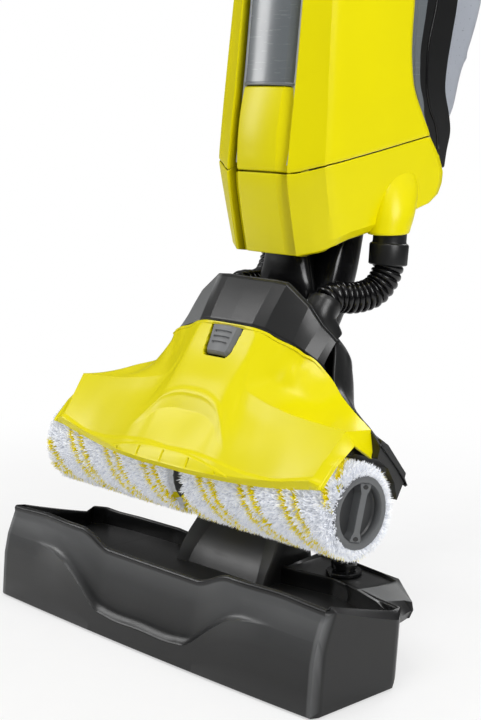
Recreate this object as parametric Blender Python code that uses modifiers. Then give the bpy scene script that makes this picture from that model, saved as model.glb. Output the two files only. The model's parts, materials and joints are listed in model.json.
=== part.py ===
"""Wet dry floor scrubber hovering over its cleaning and parking station.

Frame: metres, +Z up, +Y to the rear, and X along the roller with + to the right as seen from the front.
The origin is on the floor, under the rubber strip below the middle of the trough.  Sizes below are in
millimetres and are turned into metres as each mesh is made.
"""

import math

import bmesh
import bpy
from mathutils import Matrix, Vector

MM = 0.001

# ------------------------------------------------------------------ driving dimensions, millimetres
GAP = 0.3                    # clearance between neighbouring pieces
LEAN = math.radians(7.5)     # the upright body leans back by this much

STATION_HALF = 169.5         # half width of the tray
TRAY_FRONT = -60.0           # y of the front wall at the floor
TRAY_RIM = 72.6              # height of the front rim
TRAY_REAR_RIM = 52.0         # height of the end and rear rims at the back
TRAY_DIP = 9.5               # how far the front rim dips in the middle
TRAY_FLOOR = 40.0            # height of the trough floor
TRAY_WALL = 3.0

ROLLER_Y, ROLLER_Z = 2.0, 118.5
FUZZ_R = 33.5                # microfibre sleeve
CORE_R = 25.0
SHAFT_R = 4.0
ROLLER_IN, ROLLER_OUT = 6.6, 150.0

PIVOT_Y, PIVOT_Z = 82.0, 236.0          # neck tilt pin
REF_Y, REF_Z = 60.0, 240.0              # point that the body's lean is measured about
NECK_ACROSS = 82.3                      # depth of the neck's own axis, before the lean
MOTOR_Y, MOTOR_Z = 44.0, 190.0          # roller motor axis
CASE_HALF = 5.2                         # half thickness of the belt case

BODY_SEAM = 331.0            # base shell below, body shells above
BODY_TOP = 745.0
STRIP_HALF = 28.5            # half width of the front strip
SHAFT_TOP = 1130.0
SHAFT_ACROSS = 86.0          # depth of the handle shaft's axis, before the lean
SHAFT_TUBE_R = 14.0
HOOK_ALONG = 1100.0          # height of the cable hook along the body
FAN_ALONG, FAN_ACROSS = 612.0, 88.0

WHEEL_X, WHEEL_Y, WHEEL_Z, WHEEL_R = 112.0, 54.0, 106.5, 12.0

PI = math.pi


# ------------------------------------------------------------------ scene set-up and small tools
for old in list(bpy.data.objects):
    bpy.data.objects.remove(old, do_unlink=True)

PARTS = bpy.data.collections.new("wet_dry_floor_scrubber")
CUTTERS = bpy.data.collections.new("cutters")
bpy.context.scene.collection.children.link(PARTS)
bpy.context.scene.collection.children.link(CUTTERS)

FINISHES = {
    "yellow": ((0.80, 0.72, 0.02), 0.35, 0.0),
    "graphite": ((0.045, 0.046, 0.048), 0.45, 0.0),
    "gloss_black": ((0.012, 0.012, 0.013), 0.18, 0.0),
    "grey": ((0.20, 0.21, 0.22), 0.45, 0.0),
    "strip_grey": ((0.26, 0.28, 0.30), 0.30, 0.0),
    "tank": ((0.55, 0.58, 0.61), 0.25, 0.0),
    "fibre": ((0.85, 0.85, 0.86), 0.95, 0.0),
    "rubber": ((0.02, 0.02, 0.02), 0.80, 0.0),
    "steel": ((0.62, 0.63, 0.65), 0.30, 1.0),
}


def finish_of(name):
    colour, roughness, metallic = FINISHES[name]
    material = bpy.data.materials.get(name)
    if material is None:
        material = bpy.data.materials.new(name)
        material.use_nodes = True
        shader = material.node_tree.nodes["Principled BSDF"]
        shader.inputs["Base Color"].default_value = (*colour, 1.0)
        shader.inputs["Roughness"].default_value = roughness
        shader.inputs["Metallic"].default_value = metallic
    return material


def leaned(x, across, along):
    """A point of the upright body: across is depth and along is height, both before the lean."""
    dy, dz = across - REF_Y, along - REF_Z
    return (x, REF_Y + dy * math.cos(LEAN) + dz * math.sin(LEAN),
            REF_Z - dy * math.sin(LEAN) + dz * math.cos(LEAN))


UP_THE_BODY = (0, math.sin(LEAN), math.cos(LEAN))

PIVOTS = {
    "station": (0, 0, 0),
    "head": (0, 0, 0),
    "roller": (0, ROLLER_Y, ROLLER_Z),
    "motor": (0, MOTOR_Y, MOTOR_Z),
    "hood": (0, 29, 219),
    "release": (0, 18, 208),
    "wheel_left": (-WHEEL_X, WHEEL_Y, WHEEL_Z),
    "wheel_right": (WHEEL_X, WHEEL_Y, WHEEL_Z),
    "yoke": (0, PIVOT_Y, PIVOT_Z),
    "upper": (0, PIVOT_Y, PIVOT_Z),
    "dirty": (0, 60, 400),
    "fresh": (0, 190, 450),
    "fan": leaned(0, FAN_ACROSS, FAN_ALONG),
    "switch": leaned(0, 74, 1160),
    "hook": leaned(0, SHAFT_ACROSS + SHAFT_TUBE_R, HOOK_ALONG),
}
EMPTIES = {}


def joint_empty(body):
    if body not in EMPTIES:
        empty = bpy.data.objects.new("at_" + body, None)
        PARTS.objects.link(empty)
        empty.location = Vector(PIVOTS[body]) * MM
        EMPTIES[body] = empty
    return EMPTIES[body]


def place(name, bm, finish, body, smooth=40):
    """Store a bmesh made in millimetres, in world place, as one named object on its body's empty."""
    bmesh.ops.recalc_face_normals(bm, faces=bm.faces)
    shift = Matrix.Translation(-Vector(PIVOTS[body]))
    bmesh.ops.transform(bm, matrix=Matrix.Scale(MM, 4) @ shift, verts=bm.verts)
    mesh = bpy.data.meshes.new(name)
    bm.to_mesh(mesh)
    bm.free()
    mesh.materials.append(finish_of(finish))
    mesh.shade_smooth()
    mesh.set_sharp_from_angle(angle=math.radians(smooth))
    thing = bpy.data.objects.new(name, mesh)
    PARTS.objects.link(thing)
    thing.parent = joint_empty(body)
    return thing


def cutter(name, bm, target, operation="DIFFERENCE"):
    """Hide a closed bmesh as a cutter and add it to the target as a Boolean."""
    bmesh.ops.recalc_face_normals(bm, faces=bm.faces)
    bmesh.ops.transform(bm, matrix=Matrix.Scale(MM, 4), verts=bm.verts)
    mesh = bpy.data.meshes.new(name)
    bm.to_mesh(mesh)
    bm.free()
    tool = bpy.data.objects.new(name, mesh)
    CUTTERS.objects.link(tool)
    tool.hide_render = True
    tool.display_type = "WIRE"
    cut = target.modifiers.new(name, "BOOLEAN")
    cut.operation = operation
    cut.object = tool
    return tool


def bevel(thing, width, segments=1, angle=35):
    edge = thing.modifiers.new("edges", "BEVEL")
    edge.width = width * MM
    edge.segments = segments
    edge.limit_method = "ANGLE"
    edge.angle_limit = math.radians(angle)


def box(low, high):
    bm = bmesh.new()
    bmesh.ops.create_cube(bm, size=1.0)
    size = [h - l for l, h in zip(low, high)]
    centre = [(h + l) / 2 for l, h in zip(low, high)]
    bmesh.ops.transform(bm, matrix=Matrix.Translation(centre) @ Matrix.Diagonal((*size, 1)), verts=bm.verts)
    return bm


def rod(start, end, radius, end_radius=None, sides=20):
    """A straight round rod or cone between two points."""
    a, b = Vector(start), Vector(end)
    bm = bmesh.new()
    bmesh.ops.create_cone(bm, cap_ends=True, segments=sides, radius1=radius,
                          radius2=radius if end_radius is None else end_radius, depth=(b - a).length)
    turn = Vector((0, 0, 1)).rotation_difference(b - a).to_matrix().to_4x4()
    bmesh.ops.transform(bm, matrix=Matrix.Translation((a + b) / 2) @ turn, verts=bm.verts)
    return bm


def turned(profile, centre, axis, sides=28):
    """A closed profile of (distance along the axis, radius) turned about the axis through centre."""
    along = Vector(axis).normalized()
    across = Vector((0, 0, 1)) if abs(along.z) < 0.9 else Vector((0, 1, 0))
    across = (across - along * across.dot(along)).normalized()
    bm = bmesh.new()
    ring = [bm.verts.new(Vector(centre) + along * t + across * r) for t, r in profile]
    edges = [bm.edges.new((ring[i], ring[(i + 1) % len(ring)])) for i in range(len(ring))]
    bmesh.ops.spin(bm, geom=ring + edges, cent=centre, axis=along, angle=2 * PI, steps=sides,
                   use_merge=True, use_duplicate=False)
    bmesh.ops.remove_doubles(bm, verts=bm.verts, dist=1e-4)
    return bm


def ring_loft(rings):
    """Join rings of equal length with quads and close the first and the last with a face."""
    bm = bmesh.new()
    rows = [[bm.verts.new(p) for p in ring] for ring in rings]
    count = len(rows[0])
    for low, high in zip(rows, rows[1:]):
        for i in range(count):
            j = (i + 1) % count
            bm.faces.new((low[i], low[j], high[j], high[i]))
    bm.faces.new(rows[0])
    bm.faces.new(rows[-1])
    bmesh.ops.recalc_face_normals(bm, faces=bm.faces)
    bmesh.ops.triangulate(bm, faces=bm.faces)
    return bm


def sheet_grid(rows):
    """An open surface from rows of equal length."""
    bm = bmesh.new()
    points = [[bm.verts.new(p) for p in row] for row in rows]
    for low, high in zip(points, points[1:]):
        for i in range(len(low) - 1):
            bm.faces.new((low[i], low[i + 1], high[i + 1], high[i]))
    return bm


def shell(name, rows, thickness, finish, body, outward):
    """A sheet given a wall that grows away from the outward direction."""
    bm = sheet_grid(rows)
    bmesh.ops.recalc_face_normals(bm, faces=bm.faces)
    total = sum((f.normal * f.calc_area() for f in bm.faces), Vector())
    flip = total.dot(Vector(outward)) < 0
    if flip:
        bmesh.ops.reverse_faces(bm, faces=bm.faces)
    shift = Matrix.Translation(-Vector(PIVOTS[body]))
    bmesh.ops.transform(bm, matrix=Matrix.Scale(MM, 4) @ shift, verts=bm.verts)
    mesh = bpy.data.meshes.new(name)
    bm.to_mesh(mesh)
    bm.free()
    mesh.materials.append(finish_of(finish))
    mesh.shade_smooth()
    mesh.set_sharp_from_angle(angle=math.radians(35))
    thing = bpy.data.objects.new(name, mesh)
    PARTS.objects.link(thing)
    thing.parent = joint_empty(body)
    wall = thing.modifiers.new("wall", "SOLIDIFY")
    wall.thickness = thickness * MM
    wall.offset = -1
    return thing


def blend(a, b, t):
    return a + (b - a) * t


def smooth_step(x, low, high):
    t = min(1.0, max(0.0, (x - low) / (high - low)))
    return t * t * (3 - 2 * t)


def table(points, x):
    """Straight-line reading of a short list of (x, values...) for |x|."""
    x = abs(x)
    for left, right in zip(points, points[1:]):
        if x <= right[0]:
            t = (x - left[0]) / (right[0] - left[0])
            return [blend(l, r, t) for l, r in zip(left[1:], right[1:])]
    return list(points[-1][1:])


# ------------------------------------------------------------------ station
def rim_height(x):
    """The front rim, lower in the middle between two soft steps."""
    return TRAY_RIM - TRAY_DIP * (1 - smooth_step(abs(x), 49.5, 74.5))


def tray_ring(inset, front_y, rear_shift, height):
    """One outline of the tray, anticlockwise from the front left corner; height gives z by place."""
    half = STATION_HALF - inset
    ring = []
    for x in (-half, -150, -120, -92, -74.5, -62, -49.5, -25, 0, 25, 49.5, 62, 74.5, 92, 120, 150, half):
        bow = 3.0 * (1 - (x / STATION_HALF) ** 2)
        ring.append((x, front_y + inset - bow, height("front", x)))
    rear = (22.0, 26.0, 31.5, 36.0, 32.0, 29.0, 29.0, 29.0, 29.0, 33.0, 37.0, 35.0, 32.0)
    spots = (163.0, 140.0, 118.0, 92.0, 68.0, 50.0, 30.0, 0.0, -30.0, -50.0, -75.0, -120.0, -165.0)
    ring.append((half, -10, height("end", 0.5)))
    for x, y in zip(spots, rear):
        x = max(-half, min(half, x * half / 166.0))
        ring.append((x, y - inset + rear_shift, height("rear", x)))
    ring.append((-half, -10, height("end", 0.5)))
    return ring


def make_tray():
    def level(value):
        return lambda place_name, x: value

    def rim(place_name, x):
        if place_name == "front":
            return rim_height(x)
        return blend(TRAY_RIM, TRAY_REAR_RIM, 0.6) if place_name == "end" else TRAY_REAR_RIM

    rings = [
        tray_ring(TRAY_WALL, TRAY_FRONT, 0, level(TRAY_FLOOR - 3)),
        tray_ring(TRAY_WALL, TRAY_FRONT, 0, level(1.0)),
        tray_ring(0, TRAY_FRONT, 0, level(1.0)),
        tray_ring(0, TRAY_FRONT, 0, level(35.0)),
        tray_ring(0, TRAY_FRONT + 12.7, 0, rim),
        tray_ring(TRAY_WALL, TRAY_FRONT + 12.7, 0, rim),
        tray_ring(TRAY_WALL, TRAY_FRONT + 2.0, 0, level(TRAY_FLOOR)),
    ]
    place("station_tray", ring_loft(rings), "graphite", "station")


def make_station():
    make_tray()
    # Backrest: a tapered hump behind the trough that the parked head leans on.
    def hump(z, half, front, rear):
        return [(-half, front, z), (half, front, z), (half, rear - 8, z), (half - 8, rear, z),
                (8 - half, rear, z), (-half, rear - 8, z)]
    hump_rings = [hump(12.6, 47, 33.8, 66), hump(52.4, 45, 33.8, 64), hump(54, 45, 30.5, 64),
                  hump(88, 42, 31.0, 62), hump(95, 38, 34.0, 58)]
    place("station_backrest", ring_loft(hump_rings), "graphite", "station")
    # Shelf beside the backrest, which carries the peg for a spare roller.
    plan = [(48.0, 33.6), (56, 33.0), (70, 36.8), (84, 39.0), (98, 38.8), (118, 32.6), (142, 27), (160, 24),
            (156, 47), (124, 65), (48.0, 65)]
    place("station_shelf", ring_loft([[(x, y, z) for x, y in plan] for z in (38, TRAY_REAR_RIM)]),
          "graphite", "station")
    peg = [(0, 0.01), (0, 8.0), (2.2, 8.0), (2.2, 9.0), (10.2, 9.0), (11.2, 8.0), (11.2, 0.01)]
    foot = (90, 50.5, TRAY_REAR_RIM + GAP)
    place("roller_peg", turned(peg, foot, (0, 0, 1), 24), "gloss_black", "station")
    # Foot plate and rubber strips.
    plate = [(-75, 38), (75, 38), (75, 80), (40, 155), (-40, 155), (-75, 80)]
    place("foot_plate", ring_loft([[(x, y, z) for x, y in plate] for z in (0, 12)]), "graphite", "station")
    strip_top = TRAY_FLOOR - 3 - GAP
    place("foot_strip", box((-150, -8, 0), (150, 8, strip_top)), "rubber", "station")


# ------------------------------------------------------------------ head: hood outline shared by pieces
HOOD_LIP = [(0, -41.5, 130.5), (40, -40.5, 130.8), (80, -33.5, 131.5), (110, -31.0, 134.0),
            (142.5, -27.5, 140.5)]
HOOD_CREASE = [(0, 2.0, 184.5), (30, 2.5, 185.0), (40, 2.0, 184.5), (60, 0, 180.0), (80, -2, 176.4),
               (98, -2, 174.2), (142.5, -0.5, 171.0)]
HOOD_REAR = [(0, 29, 219), (28, 32, 218), (60, 33, 212.5), (70, 36, 208), (76, 41, 203), (84, 42, 193),
             (96, 38, 184), (112, 31, 179.5), (142.5, 16, 174)]
HOOD_X = (0, 15, 28, 40, 50, 60, 70, 76, 84, 96, 112, 128, 142.5)


def mirrored(values):
    return [-x for x in reversed(values) if x > 0] + list(values)


def make_hood():
    rows = []
    for x in mirrored(HOOD_X):
        lip, crease, rear = (table(t, x) for t in (HOOD_LIP, HOOD_CREASE, HOOD_REAR))
        sag = 2.5 * smooth_step(abs(x), 40, 60) * (1 - smooth_step(abs(x), 90, 130))
        row = [(x, lip[0], lip[1]), (x, lip[0] + 1.5, lip[1] + 5.0)]
        row += [(x, blend(row[1][1], crease[0], t), blend(row[1][2], crease[1], t)) for t in (0.35, 0.7)]
        row.append((x, crease[0], crease[1]))
        row.append((x, blend(crease[0], rear[0], 0.5) + sag, blend(crease[1], rear[1], 0.5) - sag))
        row.append((x, rear[0], rear[1]))
        rows.append(row)
    hood = shell("hood_cover", rows, 2.0, "yellow", "hood", (0, -0.7, 0.7))
    cutter("button_window", box((-15.5, 8, 185), (15.5, 36, 216)), hood)
    # Release button set in the window, with its return spring behind it.
    def key_outline(depth, grow):
        half_top, half_low = 13.5 + grow, 11.0 + grow
        back, drop = depth * 0.87, depth * 0.5
        return [(-half_top, 24.5 + back, 214.8 - drop), (half_top, 24.5 + back, 214.8 - drop),
                (half_low, 12.5 + back, 194.0 - drop), (-half_low, 12.5 + back, 194.0 - drop)]
    rings = [key_outline(depth, grow) for depth, grow in ((-3.5, -2.5), (-2.5, -1.0), (0, 0), (5.0, 0))]
    button = place("release_button", ring_loft(rings), "grey", "release")
    bevel(button, 0.6)


def make_spring():
    """Return spring: a coil of wire under the button."""
    turns, steps, radius = 5, 10, 3.2
    start, along = Vector((0, 24.0, 201.2)), Vector((0, 0.87, -0.5))
    side, up = Vector((1, 0, 0)), Vector((0, 0.5, 0.87))
    curve = bpy.data.curves.new("button_spring", "CURVE")
    curve.dimensions = "3D"
    curve.bevel_depth = 0.45 * MM
    curve.bevel_resolution = 0
    curve.use_fill_caps = True
    line = curve.splines.new("POLY")
    line.points.add(turns * steps)
    for i in range(turns * steps + 1):
        angle = 2 * PI * i / steps
        p = start + along * (8.0 * i / (turns * steps))
        p += side * radius * math.cos(angle) + up * radius * math.sin(angle)
        line.points[i].co = (*(p * MM), 1)
    curve.materials.append(finish_of("steel"))
    thing = bpy.data.objects.new("button_spring", curve)
    PARTS.objects.link(thing)


# ------------------------------------------------------------------ head structure
def fuzz_arc(radius, angles):
    return [(ROLLER_Y + radius * math.cos(math.radians(a)), ROLLER_Z + radius * math.sin(math.radians(a)))
            for a in angles]


def make_head_frame():
    """Cross beam behind the roller, arched in the middle so that it clears the backrest when parked."""
    def section(x, first, *behind):
        front = fuzz_arc(FUZZ_R + 3.6, [blend(first, 62, i / 3) for i in range(4)])
        return [(x, *p) for p in (*front, *behind)]
    ends = section(148, 2, (23.5, 163.5), (30, 159), (48, 136.5), (46, 131))
    near = section(84, 2, (26, 172), (50, 172), (65, 160), (63, 146))
    step = section(54, 2, (36, 178), (70, 178), (84, 172), (70, 146))
    arch = section(50, 40, (36, 178), (70, 178), (84, 172), (80, 158))
    half = [ends, near, step, arch]
    left = [[(-x, y, z) for x, y, z in s] for s in half]
    frame = place("head_frame", ring_loft(left + half[::-1]), "graphite", "head")
    for side in (-1, 1):
        for offset in (-8.3, 8.3):
            x = side * WHEEL_X + offset
            ear = box((x - 1.3, WHEEL_Y - 6, WHEEL_Z - 5), (x + 1.3, WHEEL_Y + 2.5, 134))
            cutter("wheel_ear", ear, frame, "UNION")
        start, end = ((side * WHEEL_X + reach, WHEEL_Y, WHEEL_Z) for reach in (-12, 12))
        spindle = rod(start, end, 2.4, sides=12)
        cutter("wheel_spindle_hole", spindle, frame)
    slot_half = CASE_HALF + 0.5
    slot = [(18, 120), (80, 170), (80, 230), (18, 230)]
    cutter("belt_slot", ring_loft([[(x, *p) for p in slot] for x in (-slot_half, slot_half)]), frame)
    cutter("motor_bay", rod((3, MOTOR_Y, MOTOR_Z), (62, MOTOR_Y, MOTOR_Z), 16.5), frame)


def capsule(x, grow=0.0):
    """Outline of the belt case in the YZ plane: an arc round each pulley axis."""
    dy, dz = MOTOR_Y - ROLLER_Y, MOTOR_Z - ROLLER_Z
    tilt = math.degrees(math.atan2(dz, dy))
    ring = []
    for i in range(9):
        a = math.radians(tilt + 90 + 180 * i / 8)
        ring.append((x, ROLLER_Y + (18.5 + grow) * math.cos(a), ROLLER_Z + (18.5 + grow) * math.sin(a)))
    for i in range(9):
        a = math.radians(tilt - 90 + 180 * i / 8)
        ring.append((x, MOTOR_Y + (13.5 + grow) * math.cos(a), MOTOR_Z + (13.5 + grow) * math.sin(a)))
    return ring


def belt_ring(x, grow):
    """Belt line round the two pulleys."""
    dy, dz = MOTOR_Y - ROLLER_Y, MOTOR_Z - ROLLER_Z
    tilt = math.degrees(math.atan2(dz, dy))
    ring = []
    for centre, radius, start in (((ROLLER_Y, ROLLER_Z), 14.3, 90), ((MOTOR_Y, MOTOR_Z), 9.3, -90)):
        for i in range(13):
            a = math.radians(tilt + start + 180 * i / 12)
            r = radius + grow
            ring.append((x, centre[0] + r * math.cos(a), centre[1] + r * math.sin(a)))
    return ring


def make_drive():
    case = place("belt_case", ring_loft([capsule(-CASE_HALF), capsule(CASE_HALF)]), "gloss_black", "head")
    cutter("case_hollow", ring_loft([capsule(-6, -1.5), capsule(4.0, -1.5)]), case)
    cutter("case_shaft_hole", rod((0, ROLLER_Y, ROLLER_Z), (9, ROLLER_Y, ROLLER_Z), 4.6), case)
    cutter("case_motor_hole", rod((0, MOTOR_Y, MOTOR_Z), (9, MOTOR_Y, MOTOR_Z), 3.0), case)
    # Toothed belt: outer face less inner face, as one ring.
    belt = place("drive_belt", ring_loft([belt_ring(-3.0, 1.4), belt_ring(3.0, 1.4)]), "rubber", "head")
    cutter("belt_inside", ring_loft([belt_ring(-5.0, 0.0), belt_ring(5.0, 0.0)]), belt)
    place("roller_pulley", turned([(-3.2, SHAFT_R + GAP), (-3.2, 14.0), (3.2, 14.0), (3.2, SHAFT_R + GAP)],
                                  (0, ROLLER_Y, ROLLER_Z), (1, 0, 0), 24), "steel", "roller")
    pulley = [(-3.2, 0.01), (-3.2, 9.0), (3.2, 9.0), (3.2, 2.0), (22.0, 2.0), (22.0, 0.01)]
    place("motor_pulley", turned(pulley, (0, MOTOR_Y, MOTOR_Z), (1, 0, 0), 20), "steel", "motor")
    motor = [(6.9, 2.4), (6.9, 15.5), (56, 15.5), (60, 9.0), (60, 0.01), (23, 0.01), (23, 2.4)]
    place("drive_motor", turned(motor, (0, MOTOR_Y, MOTOR_Z), (1, 0, 0), 24), "steel", "head")


def make_rollers():
    centre = (0, ROLLER_Y, ROLLER_Z)
    shaft = rod((-138, ROLLER_Y, ROLLER_Z), (138, ROLLER_Y, ROLLER_Z), SHAFT_R, sides=16)
    place("drive_shaft", shaft, "steel", "roller")
    bore = SHAFT_R + GAP
    for side, name in ((-1, "left"), (1, "right")):
        axis = (side, 0, 0)
        core = [(ROLLER_IN, bore), (ROLLER_IN, CORE_R), (140.8, CORE_R), (140.8, CORE_R - 3),
                (12, CORE_R - 3), (12, 8), (138, 8), (138, bore)]
        place("roller_core_" + name, turned(core, centre, axis), "grey", "roller")
        fuzz = [(ROLLER_IN, CORE_R + GAP), (ROLLER_IN, FUZZ_R - 3), (ROLLER_IN + 3, FUZZ_R), (146, FUZZ_R),
                (149.5, FUZZ_R - 4), (149.5, CORE_R + GAP)]
        place("roller_sleeve_" + name, turned(fuzz, centre, axis, 32), "fibre", "roller")
        cap = [(141.1, 0.01), (141.1, CORE_R), (149, CORE_R), (150, CORE_R - 1), (150, 19.5), (143, 19.5),
               (143, 0.01)]
        knob = place("roller_cap_" + name, turned(cap, centre, axis), "grey", "roller")
        low, high = sorted((side * 142.0, side * 149.2))
        grip = box((low, ROLLER_Y - 3.8, ROLLER_Z - 20.5), (high, ROLLER_Y + 3.8, ROLLER_Z + 20.5))
        cutter("cap_grip_" + name, grip, knob, "UNION")


def make_ducts_and_blades():
    for side, name in ((-1, "left"), (1, "right")):
        # Suction duct lying over the roller, under the hood.
        section = [*fuzz_arc(FUZZ_R + 2.2, (112, 92, 74)), (20.5, 163.0), (16, 167.0), (2.0, 165.0),
                   (-8, 157.5)]
        duct = ring_loft([[(side * x, *p) for p in section] for x in (9, 134)])
        place("suction_duct_" + name, duct, "gloss_black", "head")
    blade = fuzz_arc(FUZZ_R + GAP, (2, 10, 18)) + fuzz_arc(FUZZ_R + 1.6, (18, 10, 2))
    place("scraper_blade", ring_loft([[(x, *p) for p in blade] for x in (-140, 140)]), "rubber", "head")


COLLAR_LOW = [(0, 29.4, 220.0), (28, 32.4, 219.0), (60, 33.6, 213.5), (76, 41.8, 204.2)]
COLLAR_TOP = [(0, 49.5, 252.4), (30, 49.5, 252.2), (56, 51.5, 242.0), (78, 52.0, 216.0)]


def make_collar():
    rows = []
    for low_x, top_x in ((76, 78), (60, 56), (28, 30), (0, 0)):
        low, top = table(COLLAR_LOW, low_x), table(COLLAR_TOP, top_x)
        middle = [blend(a, b, 0.5) for a, b in zip((low_x, *low), (top_x, *top))]
        rows.append([(low_x, *low), tuple(middle), (top_x, *top)])
    rows = [[(-x, y, z) for x, y, z in row] for row in rows[:3]] + rows[::-1]
    shell("collar", rows, 3.0, "graphite", "head", (0, -0.8, 0.6))


REAR_ROWS = (
    (0, (93, 206), (99, 200), (104, 186), (98, 168)),
    (33, (93, 206), (99, 200), (104, 186), (98, 168)),
    (37, (60, 210), (80, 212), (98, 196), (92, 166)),
    (60, (57, 210), (76, 206), (92, 188), (86, 160)),
    (82, (54, 206), (66, 196), (80, 172), (76, 150)),
    (104, (44, 181.5), (54, 172), (68, 154), (66, 142)),
    (148, (19.5, 172), (32, 161), (51.5, 138), (50, 132)),
)


def make_rear_shell():
    rows = [[(x, *p) for p in points] for x, *points in REAR_ROWS]
    rows = [[(-x, y, z) for x, y, z in row] for row in rows[:0:-1]] + rows
    shell("rear_shell", rows, 2.0, "graphite", "head", (0, 0.5, 0.8))


def oval_ring(along, across, half_x, half_y, sides):
    """Oval section square to the body's axis, at one height and depth before the lean."""
    turns = [2 * PI * i / sides for i in range(sides)]
    return [leaned(half_x * math.cos(t), across + half_y * math.sin(t), along) for t in turns]


def make_neck():
    # Bracket: two ears on a common foot, which hold the tilt pin.
    ear = [(74, 178.5), (84, 178.5), (90, 238), (86, 244), (78, 244), (74, 238)]
    bracket = place("neck_bracket", ring_loft([[(x, *p) for p in ear] for x in (-33, 33)]), "gloss_black",
                    "head")
    cutter("ear_gap", box((-28, 60, 190), (28, 100, 260)), bracket)
    cutter("ear_hole", rod((-40, PIVOT_Y, PIVOT_Z), (40, PIVOT_Y, PIVOT_Z), 3.8), bracket)
    pin = rod((-33.6, PIVOT_Y, PIVOT_Z), (33.6, PIVOT_Y, PIVOT_Z), 3.5, sides=16)
    place("tilt_pin", pin, "steel", "head")
    # Yoke: a barrel on the pin that rises as a tapered shaft.
    sizes = ((228, 20, 7), (232, 26.5, 10.5), (246, 26.5, 12.5), (262, 21.5, 14.5), (282, 18, 17.6))
    rings = [oval_ring(along, NECK_ACROSS, half_x, half_y, 20) for along, half_x, half_y in sizes]
    yoke = place("neck_yoke", ring_loft(rings), "gloss_black", "yoke")
    cutter("yoke_bore", rod((-30, PIVOT_Y, PIVOT_Z), (30, PIVOT_Y, PIVOT_Z), 3.8, sides=16), yoke)
    tube = [(282.4, 13.0), (282.4, 17.5), (288, 17.5), (288, 15.0), (318, 15.0), (318, 13.0)]
    profile = [(t - REF_Z, r) for t, r in tube]
    foot = leaned(0, NECK_ACROSS, REF_Z)
    place("neck_tube", turned(profile, foot, UP_THE_BODY, 24), "gloss_black", "yoke")


HOSE_R = 11.0
HOSE_ROUTE = [(48.4, 84.6, 239.2), (48.6, 86, 247), (50.5, 97, 255), (53, 113, 259), (57, 128, 264.5),
              (58.2, 132.8, 272), (58.2, 133.7, 280.6)]


def smooth_route(points, count):
    """Catmull-Rom curve through the points, read at equal steps of its parameter."""
    pts = [Vector(p) for p in points]
    pts = [pts[0] * 2 - pts[1]] + pts + [pts[-1] * 2 - pts[-2]]
    out = []
    spans = len(pts) - 3
    for k in range(count + 1):
        s = min(k * spans / count, spans - 1e-6)
        i = int(s)
        t = s - i
        a, b, c, d = pts[i:i + 4]
        cubic = 3 * b - a - 3 * c + d
        square = 2 * a - 5 * b + 4 * c - d
        out.append(0.5 * (2 * b + (c - a) * t + square * t * t + cubic * t ** 3))
    return out


def make_hoses():
    for side, name in ((-1, "left"), (1, "right")):
        boot = [(0, 0.01), (0, 14.0), (18, 13.0), (25, 12.5), (25, 0.01)]
        place("hose_boot_" + name, turned(boot, (side * 48.4, 81.5, 212.8), (0, 0.12, 0.99), 20),
              "gloss_black", "head")
        route = [(side * x, y, z) for x, y, z in HOSE_ROUTE]
        curve = bpy.data.curves.new("hose_" + name, "CURVE")
        curve.dimensions = "3D"
        curve.bevel_depth = HOSE_R * MM
        curve.bevel_resolution = 3
        curve.use_fill_caps = True
        line = curve.splines.new("POLY")
        points = smooth_route(route, 18)
        line.points.add(len(points) - 1)
        for spot, p in zip(line.points, points):
            spot.co = (*(p * MM), 1)
        curve.materials.append(finish_of("rubber"))
        hose = bpy.data.objects.new("hose_" + name, curve)
        PARTS.objects.link(hose)
        ring = [(0, 0.01), (0, 13.0), (12, 13.0), (12, 0.01)]
        place("hose_socket_" + name, turned(ring, (side * 58.2, 133.8, 281.2), (0, 0.06, 1), 20),
              "gloss_black", "upper")


# ------------------------------------------------------------------ upper body
# Height before the lean: front of the strip, front corner, corner half width, rear edge of the side,
# and how steeply the row climbs to the rear.
BODY_ROWS = [
    (272, 61.5, 74.4, 56.2, 174.0, 0.58),
    (300, 49.5, 64.5, 57.0, 166.0, 0.46),
    (331, 40.5, 58.0, 57.5, 154.0, 0.345),
    (365, 41.0, 57.0, 56.5, 143.0, 0.27),
    (400, 41.5, 56.0, 55.0, 134.5, 0.20),
    (450, 41.0, 55.0, 53.0, 133.5, 0.12),
    (560, 41.0, 56.0, 52.0, 133.0, 0.0),
    (660, 46.0, 62.0, 48.0, 127.0, 0.0),
    (720, 60.0, 76.0, 38.0, 112.0, 0.0),
    (BODY_TOP, 72.0, 84.0, 28.0, 100.0, 0.0),
]
# The rear edge of the sides as (height, depth), for what stands behind it.
REAR_EDGE = [(336, 174.0), (367, 160.0), (376, 154.0), (384, 146.0), (394, 140.0), (421, 134.5),
             (460, 133.5), (560, 133.0), (660, 127.0), (720, 112.0)]


def body_row(along):
    return table(BODY_ROWS, along)


def rear_edge(along):
    return table(REAR_EDGE, along)[0]


def side_points(along, side, start):
    """Points round one side of the body at one height, from the strip's edge to the rear edge."""
    front, corner, half, rear, climb = body_row(along)
    inner = min(start, half - 6)
    plan = ((inner, front + 1.0), (blend(inner, half, 0.55), blend(front, corner, 0.45)),
            (half - 1.5, corner - 2.0), (half, corner + 4), (half + 0.8, blend(corner, rear, 0.5)),
            (half - 0.5, rear))
    return [leaned(side * x, y, along + climb * (y - front)) for x, y in plan]


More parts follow.
